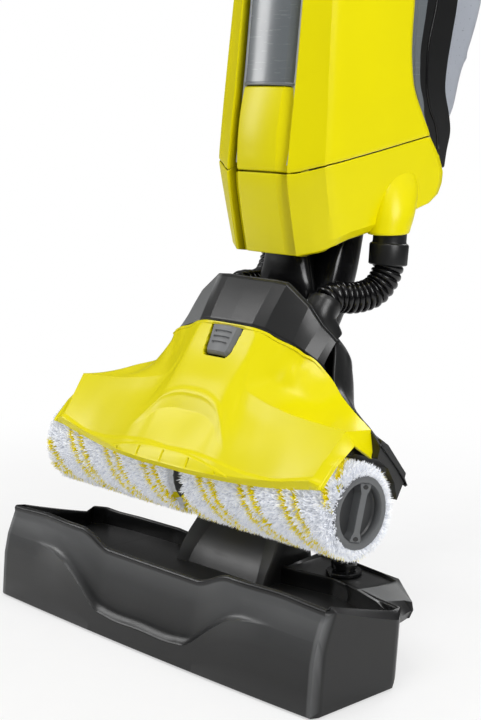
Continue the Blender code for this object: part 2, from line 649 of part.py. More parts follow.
def make_body_shells():
    for side, name in ((-1, "left"), (1, "right")):
        heights = (BODY_SEAM + GAP, 365, 400, 450, 505, 561, 562, 610, 660, 692, 720, BODY_TOP - 1)
        # Above the tank window the two shells meet in the middle.
        rows = [side_points(h, side, STRIP_HALF + 0.8 if h < 561.5 else 1.2) for h in heights]
        shell("body_shell_" + name, rows, 2.4, "yellow", "upper", (side, -0.5, 0))
    # Base shell: one U from the rear edge of one side, round the front, to the other.
    rows = []
    for h in (272, 286, 300, 316, BODY_SEAM - GAP):
        left = side_points(h, -1, STRIP_HALF)
        rows.append(left[::-1] + [leaned(0, body_row(h)[0], h)] + side_points(h, 1, STRIP_HALF))
    shell("base_shell", rows, 2.4, "yellow", "upper", (0, -1, 0))
    # Floor plate inside the base, with the hole that the neck turns in.
    outline = [(-44, 64), (44, 64), (44, 112), (-44, 112)]
    floor = place("base_plate", ring_loft([[leaned(x, y, h) for x, y in outline] for h in (296, 300)]),
                  "gloss_black", "upper")
    hole = rod(leaned(0, NECK_ACROSS, 280), leaned(0, NECK_ACROSS, 310), 15.6, sides=24)
    cutter("swivel_hole", hole, floor)


def make_dirty_tank():
    """Dirty water tank: an open-topped box behind the front strip, with its lid and front panels."""
    def outline(along, inset):
        front = body_row(along)[0] + 4.5
        half = 26.5 - inset
        low, high = front + inset, 108 - inset
        plan = ((-half, low), (half, low), (half, high - 6), (half - 6, high), (6 - half, high),
                (-half, high - 6))
        return [leaned(x, y, along) for x, y in plan]
    outer = [outline(h, 0) for h in (334, 365, 400, 450, 520)]
    inner = [outline(h, 2.0) for h in (520, 450, 400, 365, 336.5)]
    place("dirty_tank", ring_loft(outer + inner), "tank", "dirty")
    lid = [outline(h, 0) for h in (520.3, 526)] + [outline(529, 3)]
    place("dirty_tank_lid", ring_loft(lid), "graphite", "dirty")

    def strip(name, low, high, finish, bulge):
        heights = [blend(low, high, i / 4) for i in range(5)]
        rows = []
        for h in heights:
            front = body_row(h)[0]
            puff = bulge * math.sin(PI * (h - low) / (high - low))
            row = []
            for x in (-28.0, -18, 0, 18, 28.0):
                crown = 2.5 * (1 - (x / 28.0) ** 2)
                row.append(leaned(x, front + 1.2 - crown - puff, h))
            rows.append(row)
        shell(name, rows, 2.2, finish, "dirty", (0, -1, 0))
    strip("tank_front_panel", BODY_SEAM + GAP + 0.5, 389.5, "yellow", 1.0)
    strip("tank_window", 390, 556, "strip_grey", 0.0)


# Depth of the fresh water tank at each height.
FRESH_DEPTH = [(352, 12), (370, 31), (383, 53), (419, 75), (460, 88), (560, 92), (625, 85)]


def make_rear():
    # Rear frame: the black channel that the fresh water tank hangs in.
    def section(along, half, front, rear):
        plan = ((-half, rear), (-half, front), (half, front), (half, rear), (half - 4, rear),
                (half - 4, front + 5), (4 - half, front + 5), (4 - half, rear))
        return [leaned(x, y, along) for x, y in plan]
    rings = [section(h, 50.5, rear_edge(h) + 1.0, back) for h, back in
             ((345, 186), (370, 189), (384, 186), (394, 182), (421, 180), (470, 185), (560, 185), (640, 180))]
    place("rear_frame", ring_loft(rings), "gloss_black", "upper")
    # Fresh water tank: open-topped, closed by its cap.
    def outline(along, inset):
        base = rear_edge(along) + 7.0
        depth = table(FRESH_DEPTH, along)[0]
        half = 44.5 - inset
        low, high = base + inset, base + depth - inset
        plan = ((-half, low), (half, low), (half, high - 10), (half - 14, high), (14 - half, high),
                (-half, high - 10))
        return [leaned(x, y, along) for x, y in plan]
    outer = [outline(h, 0) for h in (352, 370, 384, 394, 421, 460, 560, 625)]
    inner = [outline(h, 2.0) for h in (625, 560, 460, 421, 394, 384, 374)]
    place("fresh_tank", ring_loft(outer + inner), "tank", "fresh")
    place("fresh_tank_cap", ring_loft([outline(625.3, 0), outline(630, 0), outline(634, 4)]), "graphite",
          "fresh")


def make_rear_cover():
    """Panel that closes the back of the body above the fresh water tank."""
    rows = []
    for h in (641, 660, 692, 720, BODY_TOP - 1):
        half = body_row(h)[2] - 3.6
        edge = table(BODY_ROWS, h)[3] - 0.5
        rows.append([leaned(x * half, edge + 5.0 * (1 - x * x), h) for x in (-1, -0.6, 0, 0.6, 1)])
    shell("rear_cover", rows, 2.2, "gloss_black", "upper", (0, 1, 0))


def make_inside():
    spine = [(-18, 113), (18, 113), (18, 119), (-18, 119)]
    place("chassis_spine", ring_loft([[leaned(x, y, h) for x, y in spine] for h in (304, 560)]),
          "gloss_black", "upper")
    centre = PIVOTS["fan"]
    motor = [(8, 0.01), (8, 20), (12, 26), (48, 26), (52, 20), (52, 0.01)]
    place("fan_motor", turned(motor, centre, UP_THE_BODY, 24), "steel", "upper")
    wheel = [(-16, 0.01), (-16, 9), (-12, 27), (-10, 27), (-3, 10), (-3, 3), (7.5, 3), (7.5, 0.01)]
    place("fan_wheel", turned(wheel, centre, UP_THE_BODY, 24), "grey", "fan")
    pump = ((24, 90), (46, 90), (46, 112), (24, 112))
    place("water_pump", ring_loft([[leaned(x, y, h) for x, y in pump] for h in (303, 327)]), "grey", "upper")


def make_handle():
    foot, top = BODY_TOP - REF_Z + GAP, SHAFT_TOP - REF_Z
    tube = [(foot, 11.5), (foot, 19), (foot + 3, 19), (foot + 14, SHAFT_TUBE_R), (top, SHAFT_TUBE_R),
            (top, 11.5)]
    axis_foot = leaned(0, SHAFT_ACROSS, REF_Z)
    place("handle_shaft", turned(tube, axis_foot, UP_THE_BODY, 24), "graphite", "upper")
    sizes = ((1130.5, SHAFT_ACROSS, 17, 18), (1142, SHAFT_ACROSS, 18, 20), (1160, 90, 16, 18),
             (1195, 97, 15, 17), (1230, 103, 16, 18), (1242, 105, 14, 15), (1247, 106, 8, 9))
    handle = place("handle_grip", ring_loft([oval_ring(*size, 16) for size in sizes]), "graphite", "upper")
    # The switch key slides in a well cut into the front of the grip.
    plan = ((-7.3, 60), (7.3, 60), (7.3, 77), (-7.3, 77))
    cutter("switch_well", ring_loft([[leaned(x, y, h) for x, y in plan] for h in (1147, 1181)]), handle)
    plan = ((-6.5, 71), (6.5, 71), (6.5, 76.5), (-6.5, 76.5))
    key = [[leaned(x, y, h) for x, y in plan] for h in (1149, 1171)]
    switch = place("power_switch", ring_loft(key), "grey", "switch")
    bevel(switch, 0.8)
    # Cable hook on the back of the shaft, which turns to drop the cable.
    root, reach, lip = SHAFT_ACROSS + SHAFT_TUBE_R + 1.0, SHAFT_ACROSS + 40, 6
    outline = [(root, -7), (reach, -7), (reach, 22), (reach - lip, 22), (reach - lip, 2), (root, 2)]
    rings = [[leaned(x, y, HOOK_ALONG + h) for y, h in outline] for x in (-8, 8)]
    bevel(place("cable_hook", ring_loft(rings), "graphite", "hook"), 0.8)
    gland = [(0, 0.01), (0, 7.5), (3, 7.5), (4, 5.5), (20, 4.2), (20, 0.01)]
    foot = leaned(0, SHAFT_ACROSS + SHAFT_TUBE_R + GAP, 775)
    place("cable_gland", turned(gland, foot, (0, math.cos(LEAN), -math.sin(LEAN)), 16), "rubber", "upper")


def make_wheels():
    for side, name in ((-1, "left"), (1, "right")):
        wheel = [(-7.4, 0.01), (-7.4, 2), (-6, 2), (-6, 9), (-5, WHEEL_R - 1), (-4, WHEEL_R), (4, WHEEL_R),
                 (5, WHEEL_R - 1), (6, 9), (6, 2), (7.4, 2), (7.4, 0.01)]
        centre = (side * WHEEL_X, WHEEL_Y, WHEEL_Z)
        place("wheel_" + name, turned(wheel, centre, (1, 0, 0), 24), "rubber", "wheel_" + name)


make_station()
make_hood()
make_spring()
make_head_frame()
make_drive()
make_rollers()
make_ducts_and_blades()
make_collar()
make_rear_shell()
make_neck()
make_hoses()
make_body_shells()
make_dirty_tank()
make_rear()
make_rear_cover()
make_inside()
make_handle()
make_wheels()
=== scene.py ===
import json
import math

import bpy
import numpy as np
from mathutils import Matrix


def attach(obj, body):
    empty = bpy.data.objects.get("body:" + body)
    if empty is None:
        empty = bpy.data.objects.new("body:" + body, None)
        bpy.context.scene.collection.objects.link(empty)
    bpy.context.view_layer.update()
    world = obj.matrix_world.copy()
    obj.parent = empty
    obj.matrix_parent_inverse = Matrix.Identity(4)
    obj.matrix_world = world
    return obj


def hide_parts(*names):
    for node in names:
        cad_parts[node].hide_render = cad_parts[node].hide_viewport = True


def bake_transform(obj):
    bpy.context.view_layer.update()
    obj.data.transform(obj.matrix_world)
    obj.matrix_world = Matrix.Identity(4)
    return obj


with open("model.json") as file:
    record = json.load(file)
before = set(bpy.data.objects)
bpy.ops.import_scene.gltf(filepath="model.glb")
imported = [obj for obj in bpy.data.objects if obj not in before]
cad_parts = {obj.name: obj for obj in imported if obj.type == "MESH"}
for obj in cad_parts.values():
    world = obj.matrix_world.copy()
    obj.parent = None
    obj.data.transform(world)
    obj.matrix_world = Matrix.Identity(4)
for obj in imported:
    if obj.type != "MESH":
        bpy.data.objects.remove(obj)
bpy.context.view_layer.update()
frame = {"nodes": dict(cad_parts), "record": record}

# Shapes are worked out in millimetres and stored in metres.
MM = 0.001
PI = math.pi

# Driving sizes, repeated from the CAD model.
LEAN = math.radians(7.5)                 # the upright body leans back by this much
LEAN_UP, LEAN_BACK = (0, math.sin(LEAN), math.cos(LEAN)), (0, math.cos(LEAN), -math.sin(LEAN))
REF_Y, REF_Z = 60.0, 240.0               # point that the lean is measured about
ROLLER_Y, ROLLER_Z = 2.0, 118.5          # roller axis
PIVOT_Y, PIVOT_Z = 82.0, 236.0           # neck tilt pin
NECK_ACROSS = 82.3                       # depth of the neck's own axis, before the lean
STATION_HALF = 169.5
SIDES = ((-1, "left"), (1, "right"))


# ------------------------------------------------------------------ numpy helpers
def through(knots, values, at):
    """Smooth curve through a table: cubic Hermite spans whose slopes are the table's central differences."""
    knots, values = np.asarray(knots, float), np.asarray(values, float)
    at = np.clip(np.asarray(at, float), knots[0], knots[-1])
    slopes = np.gradient(values, knots, axis=0)
    i = np.clip(np.searchsorted(knots, at, side="right") - 1, 0, len(knots) - 2)
    span = knots[i + 1] - knots[i]
    t = (at - knots[i]) / span
    if values.ndim > 1:
        t, span = t[..., None], span[..., None]
    keep, lead = 2 * t ** 3 - 3 * t ** 2 + 1, t ** 3 - 2 * t ** 2 + t
    return (keep * values[i] + (1 - keep) * values[i + 1]
            + span * (lead * slopes[i] + (t ** 3 - t ** 2) * slopes[i + 1]))


def read(table, at):
    """Smooth reading of a table whose first column holds the knots."""
    table = np.asarray(table, float)
    return through(table[:, 0], table[:, 1:], at)


def straight(knots, values, at):
    """Straight-line reading of a table with one or more columns."""
    values = np.asarray(values, float)
    if values.ndim == 1:
        return np.interp(at, knots, values)
    return np.stack([np.interp(at, knots, column) for column in values.T], -1)


def ease(x, low, high):
    """0 below low, 1 above high, and the cubic 3t^2 - 2t^3 between them."""
    t = np.clip((np.asarray(x, float) - low) / (high - low), 0, 1)
    return t * t * (3 - 2 * t)


def bump(x, centre, half):
    """A smooth hill of height 1 at the centre that is 0 beyond half on either side: the square of 1 - u^2."""
    u = np.clip(np.abs((np.asarray(x, float) - centre) / half), 0, 1)
    return (1 - u * u) ** 2


def mix(a, b, t):
    """a where t is 0, b where it is 1, and the straight line between."""
    return a + (b - a) * t


def leaned(x, across, along):
    """Points of the upright body: across is depth and along is height, both before the lean."""
    x, dy, dz = np.broadcast_arrays(x, np.asarray(across, float) - REF_Y, np.asarray(along, float) - REF_Z)
    return np.stack([x, REF_Y + dy * math.cos(LEAN) + dz * math.sin(LEAN),
                     REF_Z - dy * math.sin(LEAN) + dz * math.cos(LEAN)], -1)


def crossed(a, b):
    """Every value of a with every value of b, as two arrays of one grid."""
    return np.meshgrid(np.asarray(a, float), np.asarray(b, float), indexing="ij")


def circle(count):
    """Angles of count points round a full turn."""
    return np.linspace(0, 2 * PI, count, endpoint=False)


def oval(count, power=1.0):
    """Across and along shares of a superellipse: sign(cos t) |cos t|^power and sign(sin t) |sin t|^power."""
    return [np.sign(f) * np.abs(f) ** power for f in (np.cos(circle(count)), np.sin(circle(count)))]


def both_sides(values):
    """A row from the middle outwards, completed by its mirror image."""
    values = np.asarray(values, float)
    return np.concatenate([-values[values > 0][::-1], values])


# ------------------------------------------------------------------ shader maths
class Socket:
    """One output in a material's network.  Arithmetic on it adds Math nodes."""

    def __init__(self, net, out):
        self.net, self.out = net, out

    def maths(self, operation, *values):
        """A Math node with these inputs."""
        return self.net.node("ShaderNodeMath", {"operation": operation}, dict(enumerate(values)))

    def __add__(self, other): return self.maths("ADD", self, other)
    def __radd__(self, other): return self.maths("ADD", other, self)
    def __sub__(self, other): return self.maths("SUBTRACT", self, other)
    def __neg__(self): return self.maths("MULTIPLY", self, -1.0)
    def __rsub__(self, other): return self.maths("SUBTRACT", other, self)
    def __mul__(self, other): return self.maths("MULTIPLY", self, other)
    def __rmul__(self, other): return self.maths("MULTIPLY", other, self)
    def __truediv__(self, other): return self.maths("DIVIDE", self, other)
    def __abs__(self): return self.maths("ABSOLUTE", self)

    def most(self, other):
        """The larger of two values."""
        return self.maths("MAXIMUM", self, other)

    def step(self, low, high):
        """0 below low and 1 above high, with a smooth rise."""
        return self.net.node("ShaderNodeMapRange", {"interpolation_type": "SMOOTHSTEP"},
                             {"Value": self, "From Min": low, "From Max": high, "To Min": 0.0, "To Max": 1.0})


class Network:
    """A shader network; every node comes from the one method add()."""

    def __init__(self, tree):
        self.tree = tree
        tree.nodes.clear()

    def set(self, node, inputs):
        """Give a node's inputs a value or a link; an underscore in a name stands for a space."""
        for key, value in inputs.items():
            socket = node.inputs[key.replace("_", " ") if isinstance(key, str) else key]
            if isinstance(value, Socket):
                self.tree.links.new(value.out, socket)
            else:
                socket.default_value = value

    def add(self, kind, settings=None, inputs=None):
        """A new node with its settings, and with values or links on its inputs."""
        made = self.tree.nodes.new(kind)
        for key, value in (settings or {}).items():
            setattr(made, key, value)
        self.set(made, inputs or {})
        return made

    def node(self, kind, settings=None, inputs=None, output=0):
        """One output of a new node."""
        return Socket(self, self.add(kind, settings, inputs).outputs[output])

    def place(self):
        """Position in the object's own metres."""
        return self.node("ShaderNodeTexCoord", output="Object")

    def part(self, vector, axis):
        """One component of a vector."""
        return self.node("ShaderNodeSeparateXYZ", inputs={"Vector": vector}, output="XYZ"[axis])

    def noise(self, scale, detail=3.0, roughness=0.55, vector=None):
        """Noise of about this many cells in a metre."""
        return self.node("ShaderNodeTexNoise", inputs={
            "Vector": vector or self.place(), "Scale": scale, "Detail": detail, "Roughness": roughness})

    def stretched(self, scale):
        """Position with each axis scaled, for noise that runs in streaks."""
        return self.node("ShaderNodeMapping", inputs={"Vector": self.place(), "Scale": scale})

    def attribute(self, name):
        """A number stored at the vertices, 0 where a mesh has none."""
        return self.node("ShaderNodeAttribute", {"attribute_name": name}, output="Fac")

    def blend(self, factor, a, b, how="MIX"):
        """Colour a where the factor is 0 and colour b where it is 1."""
        return self.node("ShaderNodeMix", {"data_type": "RGBA", "blend_type": how},
                         {0: factor, 6: a, 7: b}, output=2)

    def bumped(self, height, distance, strength=1.0):
        """Normal of a surface raised by the height."""
        return self.node("ShaderNodeBump", output="Normal",
                         inputs={"Height": height, "Distance": distance, "Strength": strength})


class Finish(Network):
    """A material and its network."""

    def __init__(self, name, **fixed):
        self.material = bpy.data.materials.new(name)
        self.material.use_nodes = True
        super().__init__(self.material.node_tree)
        self.shader = self.add("ShaderNodeBsdfPrincipled", inputs=fixed)
        self.surface = Socket(self, self.shader.outputs[0])
        self.out = self.add("ShaderNodeOutputMaterial", inputs={"Surface": self.surface})

    def done(self, **inputs):
        """Set the shader's varying inputs and hand over the material."""
        self.set(self.shader, inputs)
        return self.material


def colour(r, g, b):
    """A colour socket's value, opaque."""
    return (r, g, b, 1.0)


def moulded(name, base, deep, roughness, grain=900.0, depth=0.00004, shine=0.5, coat=0.0, spread=0.07):
    """Moulded plastic: a fine spark-eroded grain in the bump, slow clouds in the colour where the melt
    flowed, handling marks as long faint scratches in the roughness, and paler worn edges."""
    f = Finish(name, Specular_IOR_Level=shine, Coat_Weight=coat, Coat_Roughness=0.12)
    cloud = f.noise(9.0, 2.0)
    speck = f.noise(grain, 2.0, 0.6)
    rub = f.noise(38.0, 4.0, 0.7)
    scratch = f.noise(60.0, 2.0, 0.5, f.stretched((1.0, 0.12, 14.0))).step(0.62, 0.7)
    edge = f.node("ShaderNodeNewGeometry", output="Pointiness").step(0.53, 0.6)
    tone = f.blend(cloud.step(0.35, 0.65), colour(*base), colour(*deep))
    worn = colour(*(min(1.0, c * 1.25 + 0.01) for c in base))
    tone = f.blend((edge * rub.step(0.4, 0.7)) * 0.35, tone, worn)
    # dark paints near black: the tray's black rim and the cap's recess, and painted shade in the body's
    # grooves and in the hood's recess under the release button.
    tone = f.blend(f.attribute("dark"), tone, colour(0.004, 0.004, 0.0045))
    # pale paints a light grey: the release key's lighter tone and the shelf's bevel, and painted highlights
    # and reflections on the tray, backrest, collar and cowl.
    tone = f.blend(f.attribute("pale"), tone, colour(0.24, 0.245, 0.25))
    dull = roughness - 0.5 * spread + speck * spread + rub.step(0.5, 0.75) * (spread * 0.6) + scratch * 0.05
    return f.done(Base_Color=tone, Roughness=dull, Normal=f.bumped(speck, depth, 0.5))


YELLOW = moulded("yellow_plastic", (0.80, 0.71, 0.0), (0.78, 0.69, 0.0), 0.3, depth=0.00001, shine=0.25,
                 spread=0.03)
GRAPHITE = moulded("graphite_plastic", (0.0105, 0.0107, 0.011), (0.008, 0.0082, 0.0085), 0.33, depth=0.00005,
                   shine=0.42)
GLOSS_BLACK = moulded("gloss_black_plastic", (0.006, 0.006, 0.0065), (0.004, 0.004, 0.0045), 0.20,
                      depth=0.00001, shine=0.42, spread=0.05)
GREY = moulded("grey_plastic", (0.115, 0.12, 0.124), (0.09, 0.094, 0.098), 0.45, depth=0.00004)
STRIP_GREY = moulded("tinted_grey_plastic", (0.150, 0.165, 0.175), (0.135, 0.15, 0.16), 0.24, depth=0.00001,
                     coat=0.4, spread=0.04)
RUBBER = moulded("black_rubber", (0.012, 0.012, 0.012), (0.008, 0.008, 0.008), 0.62, depth=0.00006,
                 shine=0.35)


def make_tank_finish():
    """Frosted clear plastic that lets a third of the light through, with mould texture and water bloom."""
    f = Finish("frosted_tank_plastic", Transmission_Weight=0.35, IOR=1.35, Specular_IOR_Level=0.4)
    bloom = f.noise(14.0, 4.0, 0.6)
    fine = f.noise(700.0, 2.0)
    tone = f.blend(bloom.step(0.35, 0.7), colour(0.50, 0.53, 0.59), colour(0.58, 0.61, 0.66))
    return f.done(Base_Color=tone, Roughness=0.25 + fine * 0.08 + bloom.step(0.5, 0.8) * 0.1,
                  Normal=f.bumped(fine, 0.00001, 0.4))


def make_steel_finish():
    """Turned steel: rings of tool marks along X and a soft variation in the tone."""
    f = Finish("turned_steel", Metallic=1.0)
    rings = f.noise(1.0, 2.0, 0.6, f.stretched((2200.0, 40.0, 40.0)))
    patch = f.noise(25.0, 3.0)
    tone = f.blend(patch.step(0.3, 0.7), colour(0.60, 0.61, 0.63), colour(0.45, 0.46, 0.48))
    return f.done(Base_Color=tone, Roughness=0.24 + rings * 0.16 + patch * 0.06,
                  Normal=f.bumped(rings, 0.00003, 0.4))


def make_fibre_finish():
    """Microfibre pile: the attribute stripe is 1 on the yellow yarn, and tufts differ a little in tone.
    Painted shade darkens and blues the pile towards the blade roots, and a faint glow in its own colour is
    painted light.
    """
    # Painted light: the pile glows faintly in its own colour.
    f = Finish("microfibre_pile", Roughness=0.95, Specular_IOR_Level=0.1, Emission_Strength=0.19)
    tuft = f.noise(420.0, 3.0, 0.65)
    shade = f.attribute("root")
    ragged = (f.attribute("stripe") + (f.noise(330.0, 3.0, 0.7) - 0.5) * 0.3).step(0.42, 0.58)
    white = f.blend(tuft.step(0.3, 0.7), colour(0.80, 0.82, 0.86), colour(0.95, 0.955, 0.97))
    yellow = f.blend(tuft.step(0.3, 0.7), colour(0.76, 0.64, 0.01), colour(0.92, 0.80, 0.02))
    tone = f.blend(ragged, white, yellow)
    # Painted shade: darker and bluer towards the blade roots, where the attribute root is low.
    tone = f.blend(1 - shade, tone, f.blend(1.0, tone, colour(0.42, 0.44, 0.48), "MULTIPLY"))
    return f.done(Base_Color=tone, Emission_Color=tone, Normal=f.bumped(tuft, 0.0006, 0.7))


TANK, STEEL, FIBRE = make_tank_finish(), make_steel_finish(), make_fibre_finish()
SLOTS = {"yellow": YELLOW, "graphite": GRAPHITE, "gloss_black": GLOSS_BLACK, "grey": GREY,
         "strip_grey": STRIP_GREY, "clear_tank": TANK, "microfibre": FIBRE, "rubber": RUBBER, "steel": STEEL}


# ------------------------------------------------------------------ mesh making
def mesh_from(name, points, faces, rings=()):
    """A mesh from whole arrays: points in millimetres, an array of equal faces, and any many-sided faces."""
    mesh = bpy.data.meshes.new(name)
    mesh.vertices.add(len(points))
    mesh.vertices.foreach_set("co", (np.asarray(points) * MM).astype(np.float32).ravel())
    sizes = np.concatenate([np.full(len(faces), faces.shape[1]), [len(r) for r in rings]]).astype(int)
    loops = np.concatenate([faces.ravel(), *rings]).astype(np.int32)
    mesh.loops.add(len(loops))
    mesh.loops.foreach_set("vertex_index", loops)
    mesh.polygons.add(len(sizes))
    mesh.polygons.foreach_set("loop_start", np.concatenate([[0], np.cumsum(sizes)[:-1]]).astype(np.int32))
    mesh.update(calc_edges=True)
    mesh.validate()
    return mesh


def grid_faces(rows, columns, around):
    """Quads between neighbouring rows of a grid; around joins the last column to the first."""
    i, j = np.meshgrid(np.arange(rows - 1), np.arange(columns if around else columns - 1), indexing="ij")
    a, b = i * columns + j, i * columns + (j + 1) % columns
    return np.stack([a, b, b + columns, a + columns], -1).reshape(-1, 4)


def joined(grids):
    """Several (grid, facing) pairs as one set of points and quads, welded where the grids share an edge."""
    points, faces, start = [], [], 0
    for grid, facing in grids:
        rows, columns = grid.shape[:2]
        quads = grid_faces(rows, columns, False)
        flat = grid.reshape(-1, 3)
        a, b, c, d = (flat[quads[:, k]] for k in range(4))
        if np.cross(c - a, d - b).sum(0) @ np.asarray(facing, float) < 0:
            quads = quads[:, ::-1]
        points.append(flat)
        faces.append(quads + start)
        start += rows * columns
    points, faces = np.concatenate(points), np.concatenate(faces)
    _, first, back = np.unique(np.round(points, 3), axis=0, return_index=True, return_inverse=True)
    return points[first], back.reshape(-1)[faces], first


def dress(mesh, name, body, slot, finish=None, replaces=None, smooth=38, marks=None):
    """Make the finished object at the origin, shade it and let it ride on its body.  The
    material is the slot's own unless another finish is given."""
    for key, values in (marks or {}).items():
        given = mesh.attributes.new(key, "FLOAT", "POINT")
        given.data.foreach_set("value", np.ravel(values).astype(np.float32))
    mesh.materials.append(finish or SLOTS[slot])
    mesh.shade_smooth()
    mesh.set_sharp_from_angle(angle=math.radians(smooth))
    thing = bpy.data.objects.new(name, mesh)
    bpy.context.scene.collection.objects.link(thing)
    if body:
        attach(thing, body)
    if replaces:
        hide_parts(replaces)
    return thing


def sheet(name, grids, body, slot, wall=2.0, marks=None, **rest):
    """An open surface from (grid, facing) pairs, with a wall that grows behind it."""
    points, faces, first = joined(grids)
    marks = {key: np.concatenate([np.ravel(v) for v in values])[first]
             for key, values in (marks or {}).items()}
    thing = dress(mesh_from(name, points, faces), name, body, slot, marks=marks, **rest)
    if wall:
        solidify = thing.modifiers.new("wall", "SOLIDIFY")
        solidify.thickness, solidify.offset = wall * MM, -1
    return thing


def ring_body(name, rings, body, slot, **rest):
    """A closed ring: rings joined one to the next, and the last to the first."""
    rings = np.asarray(rings, float)
    whole = np.concatenate([rings, rings[:1]])
    faces = grid_faces(*whole.shape[:2], True) % (rings.shape[0] * rings.shape[1])
    points = rings.reshape(-1, 3)
    a, b, c, d = (points[faces[:, k]] for k in range(4))
    if (np.cross(a, b) * c + np.cross(a, c) * d).sum() < 0:
        faces = faces[:, ::-1]
    return dress(mesh_from(name, points, faces), name, body, slot, **rest)


def solid(name, rings, body, slot, **rest):
    """A closed body: rings joined one to the next, with a face across the first and the last."""
    rings = np.asarray(rings, float)
    rows, columns = rings.shape[:2]
    points = rings.reshape(-1, 3)
    faces = grid_faces(rows, columns, True)
    first, last = np.arange(columns)[::-1], np.arange(columns) + (rows - 1) * columns
    a, b, c, d = (points[faces[:, k]] for k in range(4))
    volume = (np.cross(a, b) * c + np.cross(a, c) * d).sum()
    for cap in (first, last):
        p = points[cap]
        volume += (np.cross(p[0], p[1:-1]) * p[2:]).sum()
    if volume < 0:
        faces, first, last = faces[:, ::-1], first[::-1], last[::-1]
    return dress(mesh_from(name, points, faces, (first, last)), name, body, slot, **rest)


def turned(profile, centre, axis, sides=64):
    """Rings of a profile of (distance along the axis, radius) carried round the axis through the centre."""
    along = np.asarray(axis, float) / np.linalg.norm(axis)
    aside = np.cross(along, (0.0, 0.0, 1.0) if abs(along[2]) < 0.9 else (0.0, 1.0, 0.0))
    aside = aside / np.linalg.norm(aside)
    third = np.cross(along, aside)
    angle = circle(sides)
    round_ = np.cos(angle)[:, None] * aside + np.sin(angle)[:, None] * third
    profile = np.asarray(profile, float)
    return (np.asarray(centre, float) + profile[:, :1, None] * along + profile[:, 1:, None] * round_)


def upright(profile, across):
    """Rings of a profile of (height before the lean, radius) turned about a leaning axis at that depth."""
    profile = [(along - REF_Z, radius) for along, radius in profile]
    return turned(profile, leaned(0, across, REF_Z), LEAN_UP, 72)


def soften(thing, width, segments=2, angle=30):
    """Round the edges that are sharper than the angle."""
    edge = thing.modifiers.new("edges", "BEVEL")
    edge.width, edge.segments, edge.limit_method = width * MM, segments, "ANGLE"
    edge.angle_limit = math.radians(angle)
    edge.harden_normals = True


# ------------------------------------------------------------------ camera, floor and lamps
def make_camera():
    """A long lens on the right of the roller, a little above the hood and turned by its own small roll."""
    azimuth, elevation, roll = math.radians(46.77), math.radians(10.71), math.radians(-0.31)
    back = np.array([math.sin(azimuth) * math.cos(elevation), -math.cos(azimuth) * math.cos(elevation),
                     math.sin(elevation)])
    right = np.array([math.cos(azimuth), math.sin(azimuth), 0.0])
    up = np.cross(back, right)
    right, up = (math.cos(roll) * right + math.sin(roll) * up, math.cos(roll) * up - math.sin(roll) * right)
    lens = bpy.data.cameras.new("camera")
    lens.lens, lens.sensor_width = 78.816, 36.0
    camera = bpy.data.objects.new("camera", lens)
    bpy.context.scene.collection.objects.link(camera)
    turn = Matrix([list(row) for row in np.stack([right, up, back], 1)]).to_4x4()
    camera.matrix_world = Matrix.Translation((0.81518, -0.73012, 0.40676)) @ turn
    bpy.context.scene.camera = camera


def make_lamp(name, azimuth, height, distance, size, power, aim=(0.0, 0.03, 0.30), tall=None):
    """A soft box at a compass direction round the object (0 is in front, 90 at the right), aimed at it."""
    a = math.radians(azimuth)
    spot = np.array([math.sin(a) * distance, -math.cos(a) * distance, height])
    lamp = bpy.data.lights.new(name, "AREA")
    lamp.shape, lamp.size, lamp.size_y, lamp.energy = "RECTANGLE", size, tall or size, power
    thing = bpy.data.objects.new(name, lamp)
    bpy.context.scene.collection.objects.link(thing)
    back = spot - np.asarray(aim)
    back /= np.linalg.norm(back)
    right = np.cross((0, 0, 1.0), back)
    right /= np.linalg.norm(right)
    turn = Matrix([list(row) for row in np.stack([right, np.cross(back, right), back], 1)]).to_4x4()
    thing.matrix_world = Matrix.Translation(spot) @ turn


def make_stage():
    """A pale floor that keeps the shadow near the station and turns plain white further out."""
    scene = bpy.context.scene
    scene.view_settings.view_transform = "Standard"
    world = bpy.data.worlds.new("studio")
    scene.world = world
    world.use_nodes = True
    sky = Network(world.node_tree)
    rays = sky.add("ShaderNodeLightPath")
    seen = Socket(sky, rays.outputs["Is Camera Ray"]).most(Socket(sky, rays.outputs["Is Transmission Ray"]))
    glossy = Socket(sky, rays.outputs["Is Glossy Ray"])
    height = sky.part(sky.node("ShaderNodeTexCoord", output="Generated"), 2)
    mirror = 0.04 + height.step(0.15, 0.95) * 0.5
    strength = seen + (1 - seen) * (glossy * mirror + (1 - glossy) * 0.27)
    light = sky.node("ShaderNodeBackground", inputs={"Color": colour(1.0, 1.0, 1.0), "Strength": strength})
    sky.add("ShaderNodeOutputWorld", inputs={"Surface": light})

    f = Finish("studio_floor", Roughness=0.9, Specular_IOR_Level=0.1)
    speck = f.noise(30.0, 3.0)
    f.set(f.shader, {"Base_Color": f.blend(speck, colour(0.86, 0.86, 0.86), colour(0.90, 0.90, 0.90))})
    spot = f.place()
    x, y = f.part(spot, 0), f.part(spot, 1)
    far = (x * x + y * y).step(0.04, 0.55)
    share = (0.55 + far * 0.45) * f.node("ShaderNodeLightPath", output="Is Camera Ray")
    glow = f.node("ShaderNodeEmission", inputs={"Color": colour(1.0, 1.0, 1.0), "Strength": 1.0})
    f.set(f.out, {"Surface": f.node("ShaderNodeMixShader", inputs={0: share, 1: f.surface, 2: glow})})
    size = 40000.0
    corners = np.array([(-size, -size, -0.3), (size, -size, -0.3), (size, size, -0.3), (-size, size, -0.3)])
    floor = bpy.data.objects.new("studio_floor", mesh_from("studio_floor", corners, np.array([[0, 1, 2, 3]])))
    floor.data.materials.append(f.material)
    scene.collection.objects.link(floor)


make_camera()
make_stage()
make_lamp("right_lamp", 86, 1.35, 1.5, 0.9, 22.0)
make_lamp("left_lamp", -55, 0.85, 1.3, 0.36, 7.5, tall=0.8)
make_lamp("top_lamp", 20, 2.1, 0.3, 0.7, 10.0)
make_lamp("rim_lamp", -165, 1.3, 1.5, 0.8, 10.0)


